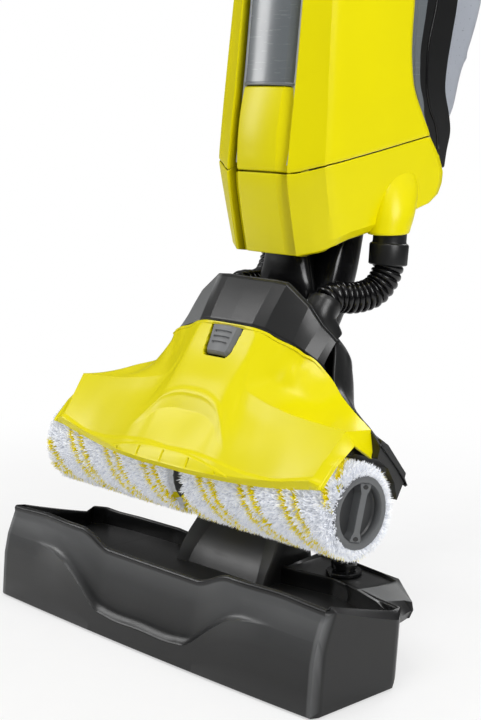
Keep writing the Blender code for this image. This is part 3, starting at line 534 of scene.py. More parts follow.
# ------------------------------------------------------------------ station
# Half widths from the middle of the front wall, and the height of the crease that crosses it there.
CREASE_X = (0, 38, 51, 61, 70, 81, 87, 99, 115, 150, STATION_HALF)
CREASE_Z = (16.3, 16.5, 19, 26, 33, 40.5, 44, 48, 49.5, 49.5, 49.5)
# Above the crease: share of the way to the rim, and share of the whole set-back.
DISH = ((0, 0.0), (0.03, 0.12), (0.06, 0.21), (0.1, 0.28), (0.2, 0.37), (0.4, 0.49), (0.6, 0.62), (0.8, 0.79),
        (1, 1.0))
END_Z = (1, 30, 42, 53, 63, 72)          # at the ends the wall leans back by the next row
END_LEAN = (0, 2.7, 4.3, 8.5, 13, 17)
MID_LEAN = 15.3                          # set-back of the front rim in the middle
FOOT_SLOPE = 0.06                        # set-back for each unit of height below the crease
FRONT_HALF, FRONT_COUNT = 166.5, 260     # the front wall's half width and its number of sections
END_FRONT = -57.0                        # where the end walls begin
REAR_SLOPE, REAR_FOOT = 0.107, 4.0       # the rear wall leans back by the slope above the foot
FOOT_ROUND = 0.7                         # how far the lowest edge is drawn in
REAR_X = (163, 140, 118, 92, 68, 48, 30, 0, -30, -48, -75, -120, -157, -166)
REAR_Y = (22.5, 26, 31.5, 36, 32, 29, 29, 29, 29, 33, 37, 35, 31, 25)
TROUGH_Z, UNDER_Z = 40.0, 37.0
DOWN = np.array([[0, 0.4, 0.8, 1]])      # shares of the way down the inside of a wall
UP = np.array([[0.02, 0.05, 0.09, 0.13, 0.18, 0.24, 0.32, 0.42, 0.54, 0.7, 1]])     # and up to the front rim
OUTSIDE, BEAD = 17, 9                    # rows of a section up its outside and over its rim
BEAD_R = 2.4


def front_rim(x):
    """Height of the front rim: 61.5 in the middle, 10 higher beyond two soft steps, 2 lower at the ends."""
    return 61.5 + 10 * ease(np.abs(x), 47, 80) - 2 * ease(np.abs(x), 120, STATION_HALF)


def front_lean(x, z):
    """How far the front wall has leaned back at height z: 6 % below the crease and the dish table above it in
    the middle, and the end table near the ends, mixed by 1 - ease(|x|, 84, 132)."""
    c, rim = through(CREASE_X, CREASE_Z, np.abs(x)), front_rim(x)
    t = np.clip((z - c) / (rim - c), 0, 1)
    foot = FOOT_SLOPE * c
    middle = np.where(z < c, FOOT_SLOPE * z, foot + (MID_LEAN - foot) * read(DISH, t)[..., 0])
    ends = through(END_Z, END_LEAN, z)
    return mix(ends, middle, 1 - ease(np.abs(x), 84, 132))


def front_columns(x):
    """Section of the front wall at every x: up the outside with three rows round the crease, over a round
    bead of radius 2.4, and down the inside 3.0 behind the outside."""
    x = x[:, None]
    c, rim = through(CREASE_X, CREASE_Z, np.abs(x)), front_rim(x)
    top = rim - 4.6
    z = np.concatenate([1 + (c - 1.8) * np.array([[0, 0.03, 0.35, 0.7, 1]]), c,
                        c + (top - c) * UP], 1)
    inset = front_lean(x, z)
    inset[:, :1] += FOOT_ROUND
    turn = np.radians(np.linspace(-25, 205, BEAD))[None]
    back = front_lean(x, top) + 2.3
    bead_in, bead_z = back - BEAD_R * np.cos(turn), rim - BEAD_R + BEAD_R * np.sin(turn)
    down = mix(rim - 7, TROUGH_Z, DOWN)
    down_in = front_lean(x, down) + np.array([[3.2, 3.2, 3.2, 5.0]])
    inset, z = np.concatenate([inset, bead_in, down_in], 1), np.concatenate([z, bead_z, down], 1)
    y = -62.5 - 3 * (1 - (x / STATION_HALF) ** 2) + inset
    return np.stack([np.broadcast_to(x, y.shape), y, z], -1)


def end_columns(share):
    """Section of the right end wall from the front (share 0) to the rear (share 1): a flat outside, a flat
    bevel 6.5 wide that climbs inwards, and the inside 8 behind the outside."""
    s = share[:, None]
    rim = 63.3 - 17.2 * np.clip((mix(END_FRONT, 15.5, s) + 44.3) / 62.2, -0.3, 1)
    rise = np.clip(2.7 + 2.5 * s, 0, 6)
    z = 1 + (rim - 1) * np.linspace(0, 1, OUTSIDE)[None]
    inset = np.zeros_like(z)
    inset[:, :1] = FOOT_ROUND
    bevel_in = np.array([[0.4, 1.5, 3.0, 4.5, 5.7, 6.5, 7.1, 7.6, 7.8]])
    bevel_z = rim + rise * np.minimum(bevel_in / 6.5, 1) - np.array([[0, 0, 0, 0, 0, 0.15, 0.6, 1.4, 2.4]])
    down = mix(rim + rise - 5, TROUGH_Z, DOWN)
    inset = np.concatenate([inset, np.broadcast_to(bevel_in, bevel_z.shape), 8 + 0 * down], 1)
    z = np.concatenate([z, bevel_z, down], 1)
    front = END_FRONT + front_lean(np.full_like(z, STATION_HALF - 1), z)
    y = mix(front, 13.4 + REAR_SLOPE * (z - REAR_FOOT), s)
    return np.stack([STATION_HALF - inset, y, z], -1)


def rear_columns(x, y):
    """Section of the rear wall: upright, 3.2 thick, with a rounded rim."""
    x, y = x[:, None], y[:, None]
    rim = 52.0 + 3.0 * bump(x, 0, 62) + 1.5 * ease(-x, 140, 166)
    z = 1 + (rim - 2.5) * np.linspace(0, 1, OUTSIDE)[None]
    inset = -REAR_SLOPE * (z - REAR_FOOT)
    inset[:, :1] += FOOT_ROUND
    over = np.array([[0.0, 0.2, 0.7, 1.3, 1.7, 2.2, 2.6, 3.0, 3.2]])
    top = rim - np.array([[1.5, 0.8, 0.2, 0, 0, 0, 0.2, 0.8, 1.5]])
    down = mix(rim - 3, TROUGH_Z, DOWN)
    inset = np.concatenate([inset, over - REAR_SLOPE * (rim - REAR_FOOT),
                            3.2 - REAR_SLOPE * (down - REAR_FOOT)], 1)
    z = np.concatenate([z, top, down], 1)
    return np.stack(np.broadcast_arrays(x, y - inset, z), -1)


def make_tray():
    """Tray walls as one closed surface: sections carried round the outline, floor and underside as its caps.
    The front outside carries a painted highlight, paler towards the rim and along the front corners; the rim
    and the wall just inside it are dark."""
    front = front_columns(np.linspace(-FRONT_HALF, FRONT_HALF, FRONT_COUNT))
    right = end_columns(np.linspace(0, 1, 26))
    left = right[::-1] * (-1, 1, 1)
    spots = np.concatenate([np.linspace(a, b, 8)[:-1] for a, b in zip(REAR_X, REAR_X[1:])] + [[REAR_X[-1]]])
    rear = rear_columns(spots, np.interp(-spots, -np.array(REAR_X), REAR_Y))
    walls = np.concatenate([front, right, rear, left])
    centre = np.array([0, -15.0, 0])
    under = walls[:, 0] + (centre - walls[:, 0]) * (0.035, 0.07, 0)
    deep = walls[:, 0] + (centre - walls[:, 0]) * (0.05, 0.27, 0)
    rings = [deep * (1, 1, 0) + (0, 0, UNDER_Z), under, *np.moveaxis(walls, 1, 0)]
    dark = np.zeros((len(rings), len(walls)))
    dark[2 + OUTSIDE:4 + OUTSIDE + BEAD] = 1.0
    painted_highlight = np.zeros(dark.shape)
    # Painted highlight: the front outside is painted paler towards the rim and along both front corners.
    painted_highlight[3:2 + OUTSIDE] = 0.34 * ease(walls[:, 1:OUTSIDE, 2].T / 66.0, 0.28, 1.02) ** 1.4
    painted_highlight[3:1 + OUTSIDE] += 0.30 * (1 - ease(FRONT_HALF - np.abs(walls[:, 0, 0]), 2.2, 3.6))
    painted_highlight *= np.arange(len(walls)) < FRONT_COUNT
    solid("tray_walls", rings, "station", "graphite", replaces="station_tray",
          marks={"dark": dark, "pale": painted_highlight}, smooth=50)


SHELF_Z = 52.0
# Backrest ridge: height, half width and depth of the outer ridge and of the inner crease.
HUMP = np.array([(20, 46.5, 3, 38.5, 5.5), (29.8, 46.3, 8.4, 37.2, 10.9), (50.6, 45.7, 17.8, 34.2, 21.3),
                 (58.2, 45.4, 23, 31.8, 26.5), (72, 42.6, 32.8, 27.1, 36.8), (74.5, 42.2, 34.6, 26.3, 38.6),
                 (86, 39.5, 43, 22.6, 46.6), (93, 37, 49, 20, 52)])


def make_backrest():
    """Hump behind the trough: a recessed tapering face between two bevels, and side walls that run back."""
    z = np.concatenate([np.linspace(40, 91, 30), [92.4, 93, 93]])
    ridge, ridge_y, crease, crease_y = read(HUMP, z).T
    pull = np.concatenate([np.zeros(30), [0.6, 1.8, 9.0]])
    rear = np.full_like(z, 66.0) - 0.12 * (z - 40) - pull
    ridge_y, crease_y = ridge_y + pull * 0.5, crease_y + pull * 0.5
    ridge, crease = ridge - pull * 0.8, crease - pull * 0.5
    columns = [(-crease, crease_y), (-crease * 0.5, crease_y + 0.5), (0 * z, crease_y + 0.7),
               (crease * 0.5, crease_y + 0.5), (crease, crease_y),
               (mix(crease, ridge, 0.06), mix(crease_y, ridge_y, 0.03)),
               (mix(crease, ridge, 0.9), mix(crease_y, ridge_y, 0.93)),
               (ridge, ridge_y), (ridge + 0.7, ridge_y + 1.2), (ridge + 1.5, ridge_y + 8),
               (ridge + 2.5, rear - 8), (ridge + 1, rear - 2.5), (ridge - 3, rear - 0.4), (ridge - 8, rear),
               (0 * z, rear)]
    columns += [(-x, y) for x, y in columns[-2:4:-1]]
    rings = np.stack([np.stack([x, y, z], -1) for x, y in columns], 1)
    # Painted highlight: the face in front of the ridges is painted a little paler.
    pale = np.where(rings[..., 1] < ridge_y[:, None] + 1.5, 0.16, 0.0)
    solid("backrest", rings, "station", "graphite", replaces="station_backrest", smooth=24,
          marks={"pale": pale})


def make_shelf():
    """Shelf beside the backrest: flat top, a raised thin rear edge, a pale bevel round its outer corner, and
    a dark skirt.  Each ring of the plan is given with its height; the plan runs round the outline."""
    edge = np.array([(50, 33, 52), (60, 33.2, 52), (72, 36.5, 52), (84, 38.8, 52), (98, 38.8, 52),
                     (110, 35.3, 52), (119.1, 32, 52), (125, 47, 52.3), (129, 61.3, 52.6), (112, 66, 53.4),
                     (80, 69, 54), (50, 70, 54)], float)
    outer = edge.copy()
    outer[:, :2] += np.array([(0, 0), (0, -0.2), (0, -0.2), (0, -0.2), (0, -0.2), (3, -2.5), (23.5, -6.7),
                              (27, -4.2), (28.1, -15.6), (12, 4), (2, 3.5), (0, 3.5)])
    outer[:, 2] = (51.7, 51.7, 51.7, 51.7, 51.7, 51.7, 51.3, 50.2, 49.5, 52.0, 53.0, 53.0)
    skirt = outer.copy()
    skirt[5:9, :2] += np.array([(1, -0.6), (20.2, -3.2), (5, 2), (0.6, 0.6)])
    skirt[:, 2] = (44, 44, 44, 44, 44, 44, 43.8, 43.5, 43.6, 44, 44, 44)
    foot = skirt + np.array([0, 0, -6.0])
    foot[5:11, :2] += (-2.5, -1.0)
    top = edge.copy()
    top[8:, 2] += 1.2
    inner = mix(top, np.array([85.0, 50, SHELF_Z]), 0.05)
    inner[:, 2] = SHELF_Z
    rounder = mix(outer, skirt, 0.08)
    rings = [straight(np.arange(13), np.concatenate([ring, ring[:1]]), np.linspace(0, 12, 61)[:-1])
             for ring in (foot, skirt, rounder, outer, edge, top, inner)]
    pale = np.zeros((7, 60))
    pale[3:5] = 0.6 * ease(rings[3][:, 0], 128, 138)
    solid("shelf", rings, "station", "graphite", replaces="station_shelf", smooth=20,
          marks={"pale": pale})


def make_peg():
    """Peg for a spare roller: flange, groove and a domed post, turned about the upright."""
    profile = [(0.3, 0.01), (0.3, 12.0), (0.9, 12.9), (2.6, 12.9), (3.2, 12.3), (3.3, 9.0), (3.6, 8.1),
               (4.6, 8.0), (5.0, 8.9), (5.6, 9.1), (10.2, 9.1), (11.2, 8.6), (11.7, 7.4), (11.9, 5.0),
               (12.0, 0.01)]
    solid("spare_peg", turned(profile, (90, 50.5, SHELF_Z), (0, 0, 1), 72), "station", "gloss_black",
          replaces="roller_peg", smooth=35)


def make_foot_plate():
    """Foot plate: a rounded plan (a superellipse whose half width tapers to the rear) with a domed edge, and
    raised cross ribs as a cosine wave in height."""
    cx, sy = oval(120, 0.45)
    plan = np.stack([cx * mix(75, 44, (sy + 1) / 2), 96.5 + 58.0 * sy], -1)
    centre = np.array([0, 96.5])
    rings = []
    for shrink, z in ((0.02, 0.3), (0.0, 1.5), (0.0, 7.5), (0.012, 9.8), (0.035, 11.3), (0.07, 12.0),
                      (0.10, 12.1), (0.12, 11.2), (0.3, 11.2), (0.6, 11.2), (0.97, 11.2)):
        flat = mix(plan, centre, shrink)
        rib = 0.8 * ease(np.cos(flat[:, 1] * 2 * PI / 9.0), -0.2, 0.3) * (0.12 < shrink)
        rings.append(np.column_stack([flat, z + rib]))
    solid("foot_pad", rings, "station", "graphite", replaces="foot_plate", smooth=50)


make_tray()
make_backrest()
make_shelf()
make_peg()
make_foot_plate()


# ------------------------------------------------------------------ rollers
YARN_TURN, YARN_PITCH = 0.342, 41.0       # advance of the stripes for each degree, and where they repeat
PILE_FOOT, PILE_TOP = 28.8, 34.0
SLEEVE_IN, SLEEVE_OUT = 7.5, 149.0        # ends of a sleeve along X
SHOULDER = 144.5                          # beyond it the sleeve narrows
TUFTS = 27000


def stripe_share(x, angle, middle):
    """1 on the yellow yarn: two bands 2.1 either side of lines 5.7 from x = middle + 0.342 angle."""
    off = (x - middle - YARN_TURN * angle) / YARN_PITCH
    off = np.abs((off - np.round(off)) * YARN_PITCH)
    return 1 - ease(np.abs(off - 5.7), 1.5, 2.9)


def on_roller(x, angle, radius):
    """Point at an angle in degrees from the front (-Y), growing downwards."""
    a = np.radians(angle)
    return np.stack([x, ROLLER_Y - radius * np.cos(a), ROLLER_Z - radius * np.sin(a)], -1)


def make_sleeve(side, name, middle, seed):
    """Sleeve: a base tube, and a pile of 27,000 short blades.  Each blade stands on the tube at (x, angle),
    leans by a random amount and by its clump's, and tapers over two spans to a point; beyond x = 138 it
    also leans outwards, so that the pile fans over the cap."""
    rng = np.random.default_rng(seed)
    x, angle = crossed(np.linspace(SLEEVE_IN, SLEEVE_OUT, 260), np.linspace(0, 360, 181)[:-1])
    weave = np.sin(x * 2.1) * np.sin(np.radians(angle) * 31 + x)
    radius = (PILE_FOOT - 5.0 * ease(x, SHOULDER, SLEEVE_OUT) - 4.0 * (1 - ease(x, SLEEVE_IN, 9.5))
              + 0.5 * weave)
    tube = on_roller(side * x, angle, radius)
    tube_stripe = stripe_share(side * x, angle, middle)

    count = TUFTS
    foot = rng.uniform(SLEEVE_IN, 148.5, count)
    fringe = rng.uniform(0, 1, count) < 0.09      # longer tufts that stand over the cap
    foot = np.where(fringe, rng.uniform(142.0, 148.8, count), foot)
    turn = rng.uniform(0, 360, count)
    clump = np.sin(foot * 0.9 + 3.1 * np.sin(turn * 0.11)) * np.sin(turn * 0.35 + 2.0 * np.sin(foot * 0.5))
    outward = (ease(foot, 138, 148.5) * rng.uniform(0.2, 1.25, count)
               - (1 - ease(foot, SLEEVE_IN, 11)) * rng.uniform(0.0, 0.7, count))
    length = (PILE_TOP - PILE_FOOT) * rng.uniform(0.80, 1.12, count) + 0.35 * clump
    length = np.where(fringe, length * rng.uniform(0.9, 1.25, count), length)
    start_r = PILE_FOOT - 0.6 - 4.8 * ease(foot, SHOULDER, 148.8)
    a = np.radians(turn)
    radial = np.stack([0 * a, -np.cos(a), -np.sin(a)], -1)
    around = np.stack([0 * a, np.sin(a), -np.cos(a)], -1)
    along = np.array([side, 0.0, 0.0])
    lean_x = (rng.normal(0, 0.17, count) + 0.14 * clump) + outward
    lean_a = rng.normal(0, 0.24, count) - 0.2 * clump
    way = radial + lean_x[:, None] * along + lean_a[:, None] * around
    way /= np.linalg.norm(way, axis=1)[:, None]
    root = on_roller(side * foot, turn, start_r)
    twist = rng.uniform(0, PI, count)
    wide = np.cos(twist)[:, None] * along + np.sin(twist)[:, None] * around
    width = rng.uniform(0.42, 0.75, count)[:, None]
    droop = rng.normal(0, 0.30, count)[:, None] * around + rng.normal(0, 0.3, count)[:, None] * along
    length = length[:, None]
    knee, tip = root + way * length * 0.6, root + way * length + droop * length * 0.35
    blades = np.stack([root - wide * width, root + wide * width, knee - wide * width * 0.75,
                       knee + wide * width * 0.75, tip], 1).reshape(-1, 3)
    base = len(tube.reshape(-1, 3)) + 5 * np.arange(count)[:, None]
    blade_faces = np.concatenate([base + k for k in ((0, 1, 3), (0, 3, 2), (2, 3, 4))])
    hue = stripe_share(side * foot + rng.normal(0, 0.15, count), turn, middle)
    hue = np.where(foot > SHOULDER, 0.0, hue)
    tube_faces = grid_faces(*tube.shape[:2], True)
    tube_faces = np.concatenate([tube_faces[:, [0, 1, 2]], tube_faces[:, [0, 2, 3]]])
    points = np.concatenate([tube.reshape(-1, 3), blades])
    stripe = np.concatenate([tube_stripe.ravel(), np.repeat(hue, 5)])
    # Painted shade: the tube and the blade roots are marked 0.45 and the tips 1, so the pile is darkened
    # towards its roots.
    shade = np.concatenate([np.full(tube_stripe.size, 0.45), np.tile([0.45, 0.45, 0.85, 0.85, 1.0], count)])
    faces = np.concatenate([tube_faces, blade_faces])
    return dress(mesh_from("pile_" + name, points, faces), "pile_" + name, "roller", "microfibre",
                 replaces="roller_sleeve_" + name, marks={"stripe": stripe, "root": shade}, smooth=180)


def make_cap(side, name):
    """End cap: a grey ring round a dark dished recess, and a grip bar that widens to a rounded pad with an
    oval hole at both ends."""
    profile = [(141.1, 0.01), (141.1, 24.6), (141.6, 25.0), (148.4, 25.0), (149.4, 24.5), (149.9, 23.6),
               (149.9, 21.2), (149.6, 20.3), (148.8, 19.7), (147.0, 19.4), (144.2, 19.1), (143.2, 18.2),
               (143.0, 16.5), (143.0, 0.01)]
    centre = np.array([0, ROLLER_Y, ROLLER_Z])
    rings = turned(profile, centre, (side, 0, 0), 96)
    dark = np.zeros(rings.shape[:2])
    dark[10:] = 0.75
    solid("cap_" + name, rings, "roller", "grey", replaces="roller_cap_" + name, marks={"dark": dark},
          smooth=30)
    tilt = math.radians(16.0)
    along = np.array([0, math.sin(tilt), math.cos(tilt)])
    across = np.array([0, -math.cos(tilt), math.sin(tilt)])
    v = np.concatenate([np.linspace(-19.6, 19.6, 90), np.linspace(19.6, -19.6, 90)])
    half = 3.0 + 2.3 * ease(np.abs(v), 12.5, 18.5)
    half[:90] *= -1
    flat = v[:, None] * along + half[:, None] * across
    rings = [centre + flat * s + (side * x, 0, 0)
             for s, x in ((1.0, 143.1), (1.0, 148.6), (0.975, 149.3), (0.93, 149.5))]
    solid("cap_bar_" + name, rings, "roller", "grey", smooth=35)
    turn = circle(32)
    for end in (-1, 1):
        middle = centre + end * 17.2 * along
        oval = 1.5 * np.sin(turn)[:, None] * along + 2.6 * np.cos(turn)[:, None] * across
        solid("cap_hole_%s_%s" % (name, "low" if end < 0 else "high"),
              [middle + oval + (side * x, 0, 0) for x in (149.2, 149.56)], "roller", "gloss_black")


make_sleeve(1, "right", 35.0, 11)
make_sleeve(-1, "left", -25.5, 12)
for each_side in SIDES[::-1]:
    make_cap(*each_side)


# ------------------------------------------------------------------ hood
# One row per half width at the lip: the upper crease and the seam behind it, as x, y and z.
HOOD_TABLE = np.array([(0, 0, 24.8, 222.8, 0, 25.2, 223.6), (12, 14, 24.8, 222.7, 14, 25.2, 223.5),
                       (22, 25.5, 24.6, 221.6, 27, 26, 222.8), (28, 30, 22.4, 217.8, 36, 27.6, 220.9),
                       (36, 34.5, 15.8, 205.6, 44, 29.0, 217.6), (44, 37.5, 9.0, 195.2, 51, 30.3, 215.4),
                       (52, 40.3, 2.8, 186.2, 57, 30.8, 214.0), (60, 46.5, 1.5, 183.0, 63, 31.9, 211.8),
                       (70, 59, 0.0, 180.0, 68, 33.0, 209.0), (82, 72, -1.3, 177.6, 73, 38.4, 204.7),
                       (96, 90, -2.0, 175.0, 83.5, 43.9, 191.9), (112, 108, -1.6, 173.4, 98.5, 39.3, 181.7),
                       (122, 124, -1.0, 172.2, 117, 31.0, 175.8),
                       (131, 138, -0.5, 171.3, 136.5, 25.5, 168.1)])
LIP_X = (0, 20, 40, 80, 100, 120, 131, 142.5)
LIP_Y = (-41, -40.8, -39, -31.5, -28.5, -27.3, -27, -26.8)
LIP_Z = (129.5, 129.4, 129.3, 129.5, 131, 134, 136, 138.2)
FACE_OUT = np.array([0, -0.778, 0.628])
BROW_X = (0, 10, 21, 32, 41, 47, 54)
BROW_Y = (-9.4, -9.6, -11.0, -14.3, -20.3, -24, -28)
TICKS = np.array([-52.0, -26.0, 0.0, 26.0, 52.0])
KEY_TOP, KEY_LOW = (25.0, 16.3), (9.8, 13.4)    # depth and half width of the button's window, above and below


def key_share(x, y, grow=0.0):
    """1 inside the button's window, a trapezium with rounded corners, and 0 outside."""
    t = (y - KEY_LOW[0]) / (KEY_TOP[0] - KEY_LOW[0])
    half = mix(KEY_LOW[1], KEY_TOP[1], t) + grow - 2.6 * bump(y, KEY_LOW[0] - 0.6 - grow, 3.0)
    side = 1 - ease(np.abs(x), half - 0.4, half + 0.4)
    return side * ease(y, KEY_LOW[0] - 0.3 - grow, KEY_LOW[0] + 0.3 - grow)


def face_relief(x, y, t):
    """How far the front face stands out of its ruled surface: a slight puff, a hollow below the button, the
    brow pocket, the raised lip panel with five grooves, and the soft lip band.  The pocket falls by up to
    3.4 over its crescent, whose height is 7 (1 - (x / 50)^2)^0.6, and fills again over 24 below that."""
    wide = np.abs(x)
    puff = 1.6 * bump(t, 0.40, 0.44) * (1 - ease(wide, 40, 128))
    hollow = 1.2 * bump(t, 0.80, 0.22) * (1 - ease(wide, 6, 44))
    below = through(BROW_X, BROW_Y, wide) - y
    left = np.clip(1 - (x / 50) ** 2, 0, 1)
    tall = 7.0 * left ** 0.6 + 0.01
    pocket = 3.4 * left ** 1.6 * np.clip(below / tall, 0, 1) * (1 - ease(below - tall, -0.5, 24))
    brow = 0.5 * left * bump(below, -0.9, 2.6)
    reach = 60 + np.clip(-34.7 - y, 0, 9) * 1.5
    panel = (1 - ease(wide, reach - 0.8, reach + 0.8)) * ease(-34.7 - y, 0, 1.0)
    groove = np.max(1 - ease(np.abs(x[..., None] - TICKS), 0.35, 0.95), -1) * ease(-36.2 - y, 0, 0.5)
    edge = -33.5 + 9.2 * (wide / 132) ** 1.3
    band = 1.1 * ease(edge - y, 0, 2.0) * (1 - ease(edge - y, 3.5, 9.5))
    return puff - hollow - pocket + brow + 0.9 * panel - 1.1 * groove * panel + band


def hood_column_set(at):
    """Crease and seam of the columns, from the table, mirrored by the sign of x."""
    got = read(HOOD_TABLE, np.abs(at))
    sign = np.where(at < 0, -1.0, 1.0)
    got[:, 0] *= sign
    got[:, 3] *= sign
    return got[:, :3], got[:, 3:]


def make_hood():
    """Hood: front face from the lip to the crease, flanks from the crease to the seam, an undercut lip, and
    a bevelled wall at both ends that follows the roller."""
    at = both_sides(np.concatenate([np.linspace(0, 70, 130), np.linspace(70.6, 131, 74)]))
    crease, seam = hood_column_set(at)
    drop = 3.3 + 1.5 * ease(np.abs(at), 60, 131)
    lip_y, lip_z = through(LIP_X, np.column_stack([LIP_Y, LIP_Z]), np.abs(at)).T
    lip = np.stack([at, lip_y - 0.7, lip_z + drop], -1)
    t = np.concatenate([np.linspace(0, 0.2, 40), np.linspace(0.205, 0.5, 62), np.linspace(0.506, 1, 50)])
    base = lip[:, None] + (crease - lip)[:, None] * t[None, :, None]
    plane = 130 + 1.24 * (base[..., 1] + 42 - 9 * (base[..., 0] / 142) ** 2)
    ends = plane[:, :1] + (plane[:, -1:] - plane[:, :1]) * t
    base[..., 2] += (plane - ends) * 0.8
    out = face_relief(base[..., 0], base[..., 1], np.broadcast_to(t, base.shape[:2]))
    start = ease(t, 0, 0.02)
    out = out * start * (1 - ease(t, 0.97, 1.0)) + (1 - start) * (np.abs(at) < 62)[:, None]
    window = key_share(base[..., 0], base[..., 1])
    face = base + (out - 6.6 * window)[..., None] * FACE_OUT
    f = np.linspace(0, 1, 46)
    sag = 3.2 * ease(np.abs(at), 36, 66) * (1 - ease(np.abs(at), 100, 131))
    flank = crease[:, None] + (seam - crease)[:, None] * f[None, :, None]
    rise = sag[:, None] * -np.sin(PI * f) + 1.6 * bump(f, 0.62, 0.25) * bump(np.abs(at), 74, 30)[:, None]
    flank = flank + rise[..., None] * np.array([0, -0.45, 0.9])
    back = seam[:, None] + np.array([(0, 0.0, 0.0), (0, 0.5, -0.6), (0, 0.4, -2.2)])
    foot = lip - np.stack([0 * drop, 0 * drop, drop], -1)
    under = np.stack([face[:, 0], mix(face[:, 0], foot + (0, 1.0, 0), 0.12), foot + (0, 1.7, 0),
                      foot + (0, 3.2, 0.4), foot + (0, 4.6, 2.5)], 1)
    grids = [(face, (0, -1, 1)), (flank, (0, 0, 1)), (back, (0, 1, 0.5)), (under, (0, -1, -1))]
    for side in (-1, 1):
        i = 0 if side < 0 else -1
        outer = np.concatenate([under[i, 2:0:-1], face[i], flank[i, 1:]])
        line = np.array([(142.5, -26.6, 137.6), (142.5, -26.2, 138.9), (142.5, -13.3, 151.0),
                         (142.5, 3.6, 161.9), (142.5, 20.5, 150.2), (142.5, 21.5, 150.0)]) * (side, 1, 1)
        share = np.concatenate([[0, 0.01], np.linspace(0.02, 0.62, len(face[i])),
                                np.linspace(0.62, 1, 46)[1:]])
        inner = straight((0, 0.02, 0.32, 0.62, 0.98, 1), line, share)
        brink = outer.copy()
        run = np.clip((share - 0.62) / 0.38, 0, 1)[:, None]
        brink[:, :] = np.where(run > 0, mix(crease[i], np.array([side * 142.5, 21.0, 154.9]), run), brink)
        k = np.linspace(0, 1, 8)[:, None, None]
        turnover = mix(outer[None], brink[None], k)
        grids.append((turnover[:, len(face[i]) + 1:], (side, 0, 0.5)))
        wall = mix(brink[None], inner[None], k)
        grids.append((wall, (side, 0, 0)))
        tuck = np.array([(0, 0, 0), (-1.5 * side, 0.3, -0.3), (-4 * side, 1, -0.6)])
        grids.append((inner[None] + tuck[:, None], (0, 0, -1)))
    marks = [np.zeros(g.shape[:2]) for g, _ in grids]
    # Painted shade: the recess under the release button is painted near black.
    marks[0] = (window > 0.35) * 1.0
    sheet("hood_shell", grids, "hood", "yellow", wall=2.0, replaces="hood_cover",
          marks={"dark": marks}, smooth=32)


def make_key():
    """Release button: a raised trapezium with a wide bevel and three slots pressed into its face."""
    u, v = crossed(np.linspace(-1.0, 1.0, 141), np.linspace(0.0, 1.0, 141))
    y = mix(KEY_LOW[0] + 0.8, KEY_TOP[0] - 0.6, v)
    half = mix(KEY_LOW[1], KEY_TOP[1], v) - 1.0 - 2.6 * bump(y, KEY_LOW[0] + 0.2, 3.0)
    x = u * half
    rim = np.minimum(np.minimum(half - np.abs(x), v * 22.0 * 1.6), (1 - v) * 22.0 * 1.6)
    rise = 3.4 * np.clip(rim / 3.0, 0, 1) ** 0.7 + 1.2 * bump(u, 0, 1)
    inside = 1 - ease(np.abs(x), half - 6.4, half - 5.6)
    for spot in (0.36, 0.54, 0.72):
        rise = rise - 1.2 * (1 - ease(np.abs(v - spot) * 24.0, 0.6, 1.1)) * inside
    t = (y + 41.7) / (24.8 + 41.7)
    out = rise - 2.2 * bump(t, 0.80, 0.22) - 1.6
    grid = np.stack([x, y, mix(132.8, 222.8, t)], -1) + out[..., None] * FACE_OUT
    sheet("release_key", [(grid, (0, -1, 1))], "release", "grey", wall=1.5, replaces="release_button",
          marks={"pale": [np.full(grid.shape[:2], 0.35)]}, smooth=25)


make_hood()
make_key()


# ------------------------------------------------------------------ collar, rear shell and neck
# Facet edges of the collar from the middle outwards: the seam with the hood, then the top edge.
COLLAR_LOW = np.array([(0, 25.5, 224.2), (22, 25.9, 223.8), (33, 27.3, 222.0), (57, 31.2, 214.4),
                       (66, 34.2, 209.8), (72.5, 40.0, 203.4), (75, 43.5, 198.5)])
COLLAR_TOP = np.array([(0, 47.6, 254.2), (24, 47.8, 254.3), (36, 48.2, 253.4), (56, 50.0, 239.2),
                       (65, 53.0, 226.5), (72, 56.0, 219.0), (75, 57.5, 215.5)])


def make_collar():
    """Collar: ruled facets from the hood's seam up to the top edge, softened along the facet edges, with a
    rim that turns inwards."""
    knots = np.arange(len(COLLAR_LOW), dtype=float)
    near = np.array([-0.5, -0.07, -0.03, 0, 0.03, 0.07, 0.25])
    at = np.unique((knots[:, None] + near).clip(0, knots[-1]))
    low, top = straight(knots, COLLAR_LOW, at), straight(knots, COLLAR_TOP, at)
    low = np.concatenate([low[:0:-1] * (-1, 1, 1), low])
    top = np.concatenate([top[:0:-1] * (-1, 1, 1), top])
    v = np.linspace(0, 1, 16)
    wall = low[:, None] + (top - low)[:, None] * v[None, :, None]
    wall[..., 2] += 0.8 * np.sin(PI * v)
    foot = low[:, None] + np.array([(0, 2.0, -2.5), (0, 0.6, -0.9), (0, 0.1, -0.3)])
    rim = top[:, None] + np.array([(0, 0.5, 0.35), (0, 1.4, 0.4), (0, 3.0, -0.4), (0, 3.4, -2.5)])
    across = np.broadcast_to(np.abs(wall[..., 0]), wall.shape[:2])
    # Painted reflection: on the left only, the facets beyond 33 from the middle are painted pale grey.
    pale = np.where(wall[..., 0] < 0, 0.75 * ease(across, 33, 35), 0.0)
    sheet("collar_shell", [(foot, (0, -1, 0)), (wall, (0, -1, 1)), (rim, (0, 0, 1))], "head", "graphite",
          wall=2.0, replaces="collar", smooth=12,
          marks={"pale": [np.zeros(foot.shape[:2]), pale, np.zeros(rim.shape[:2])]})


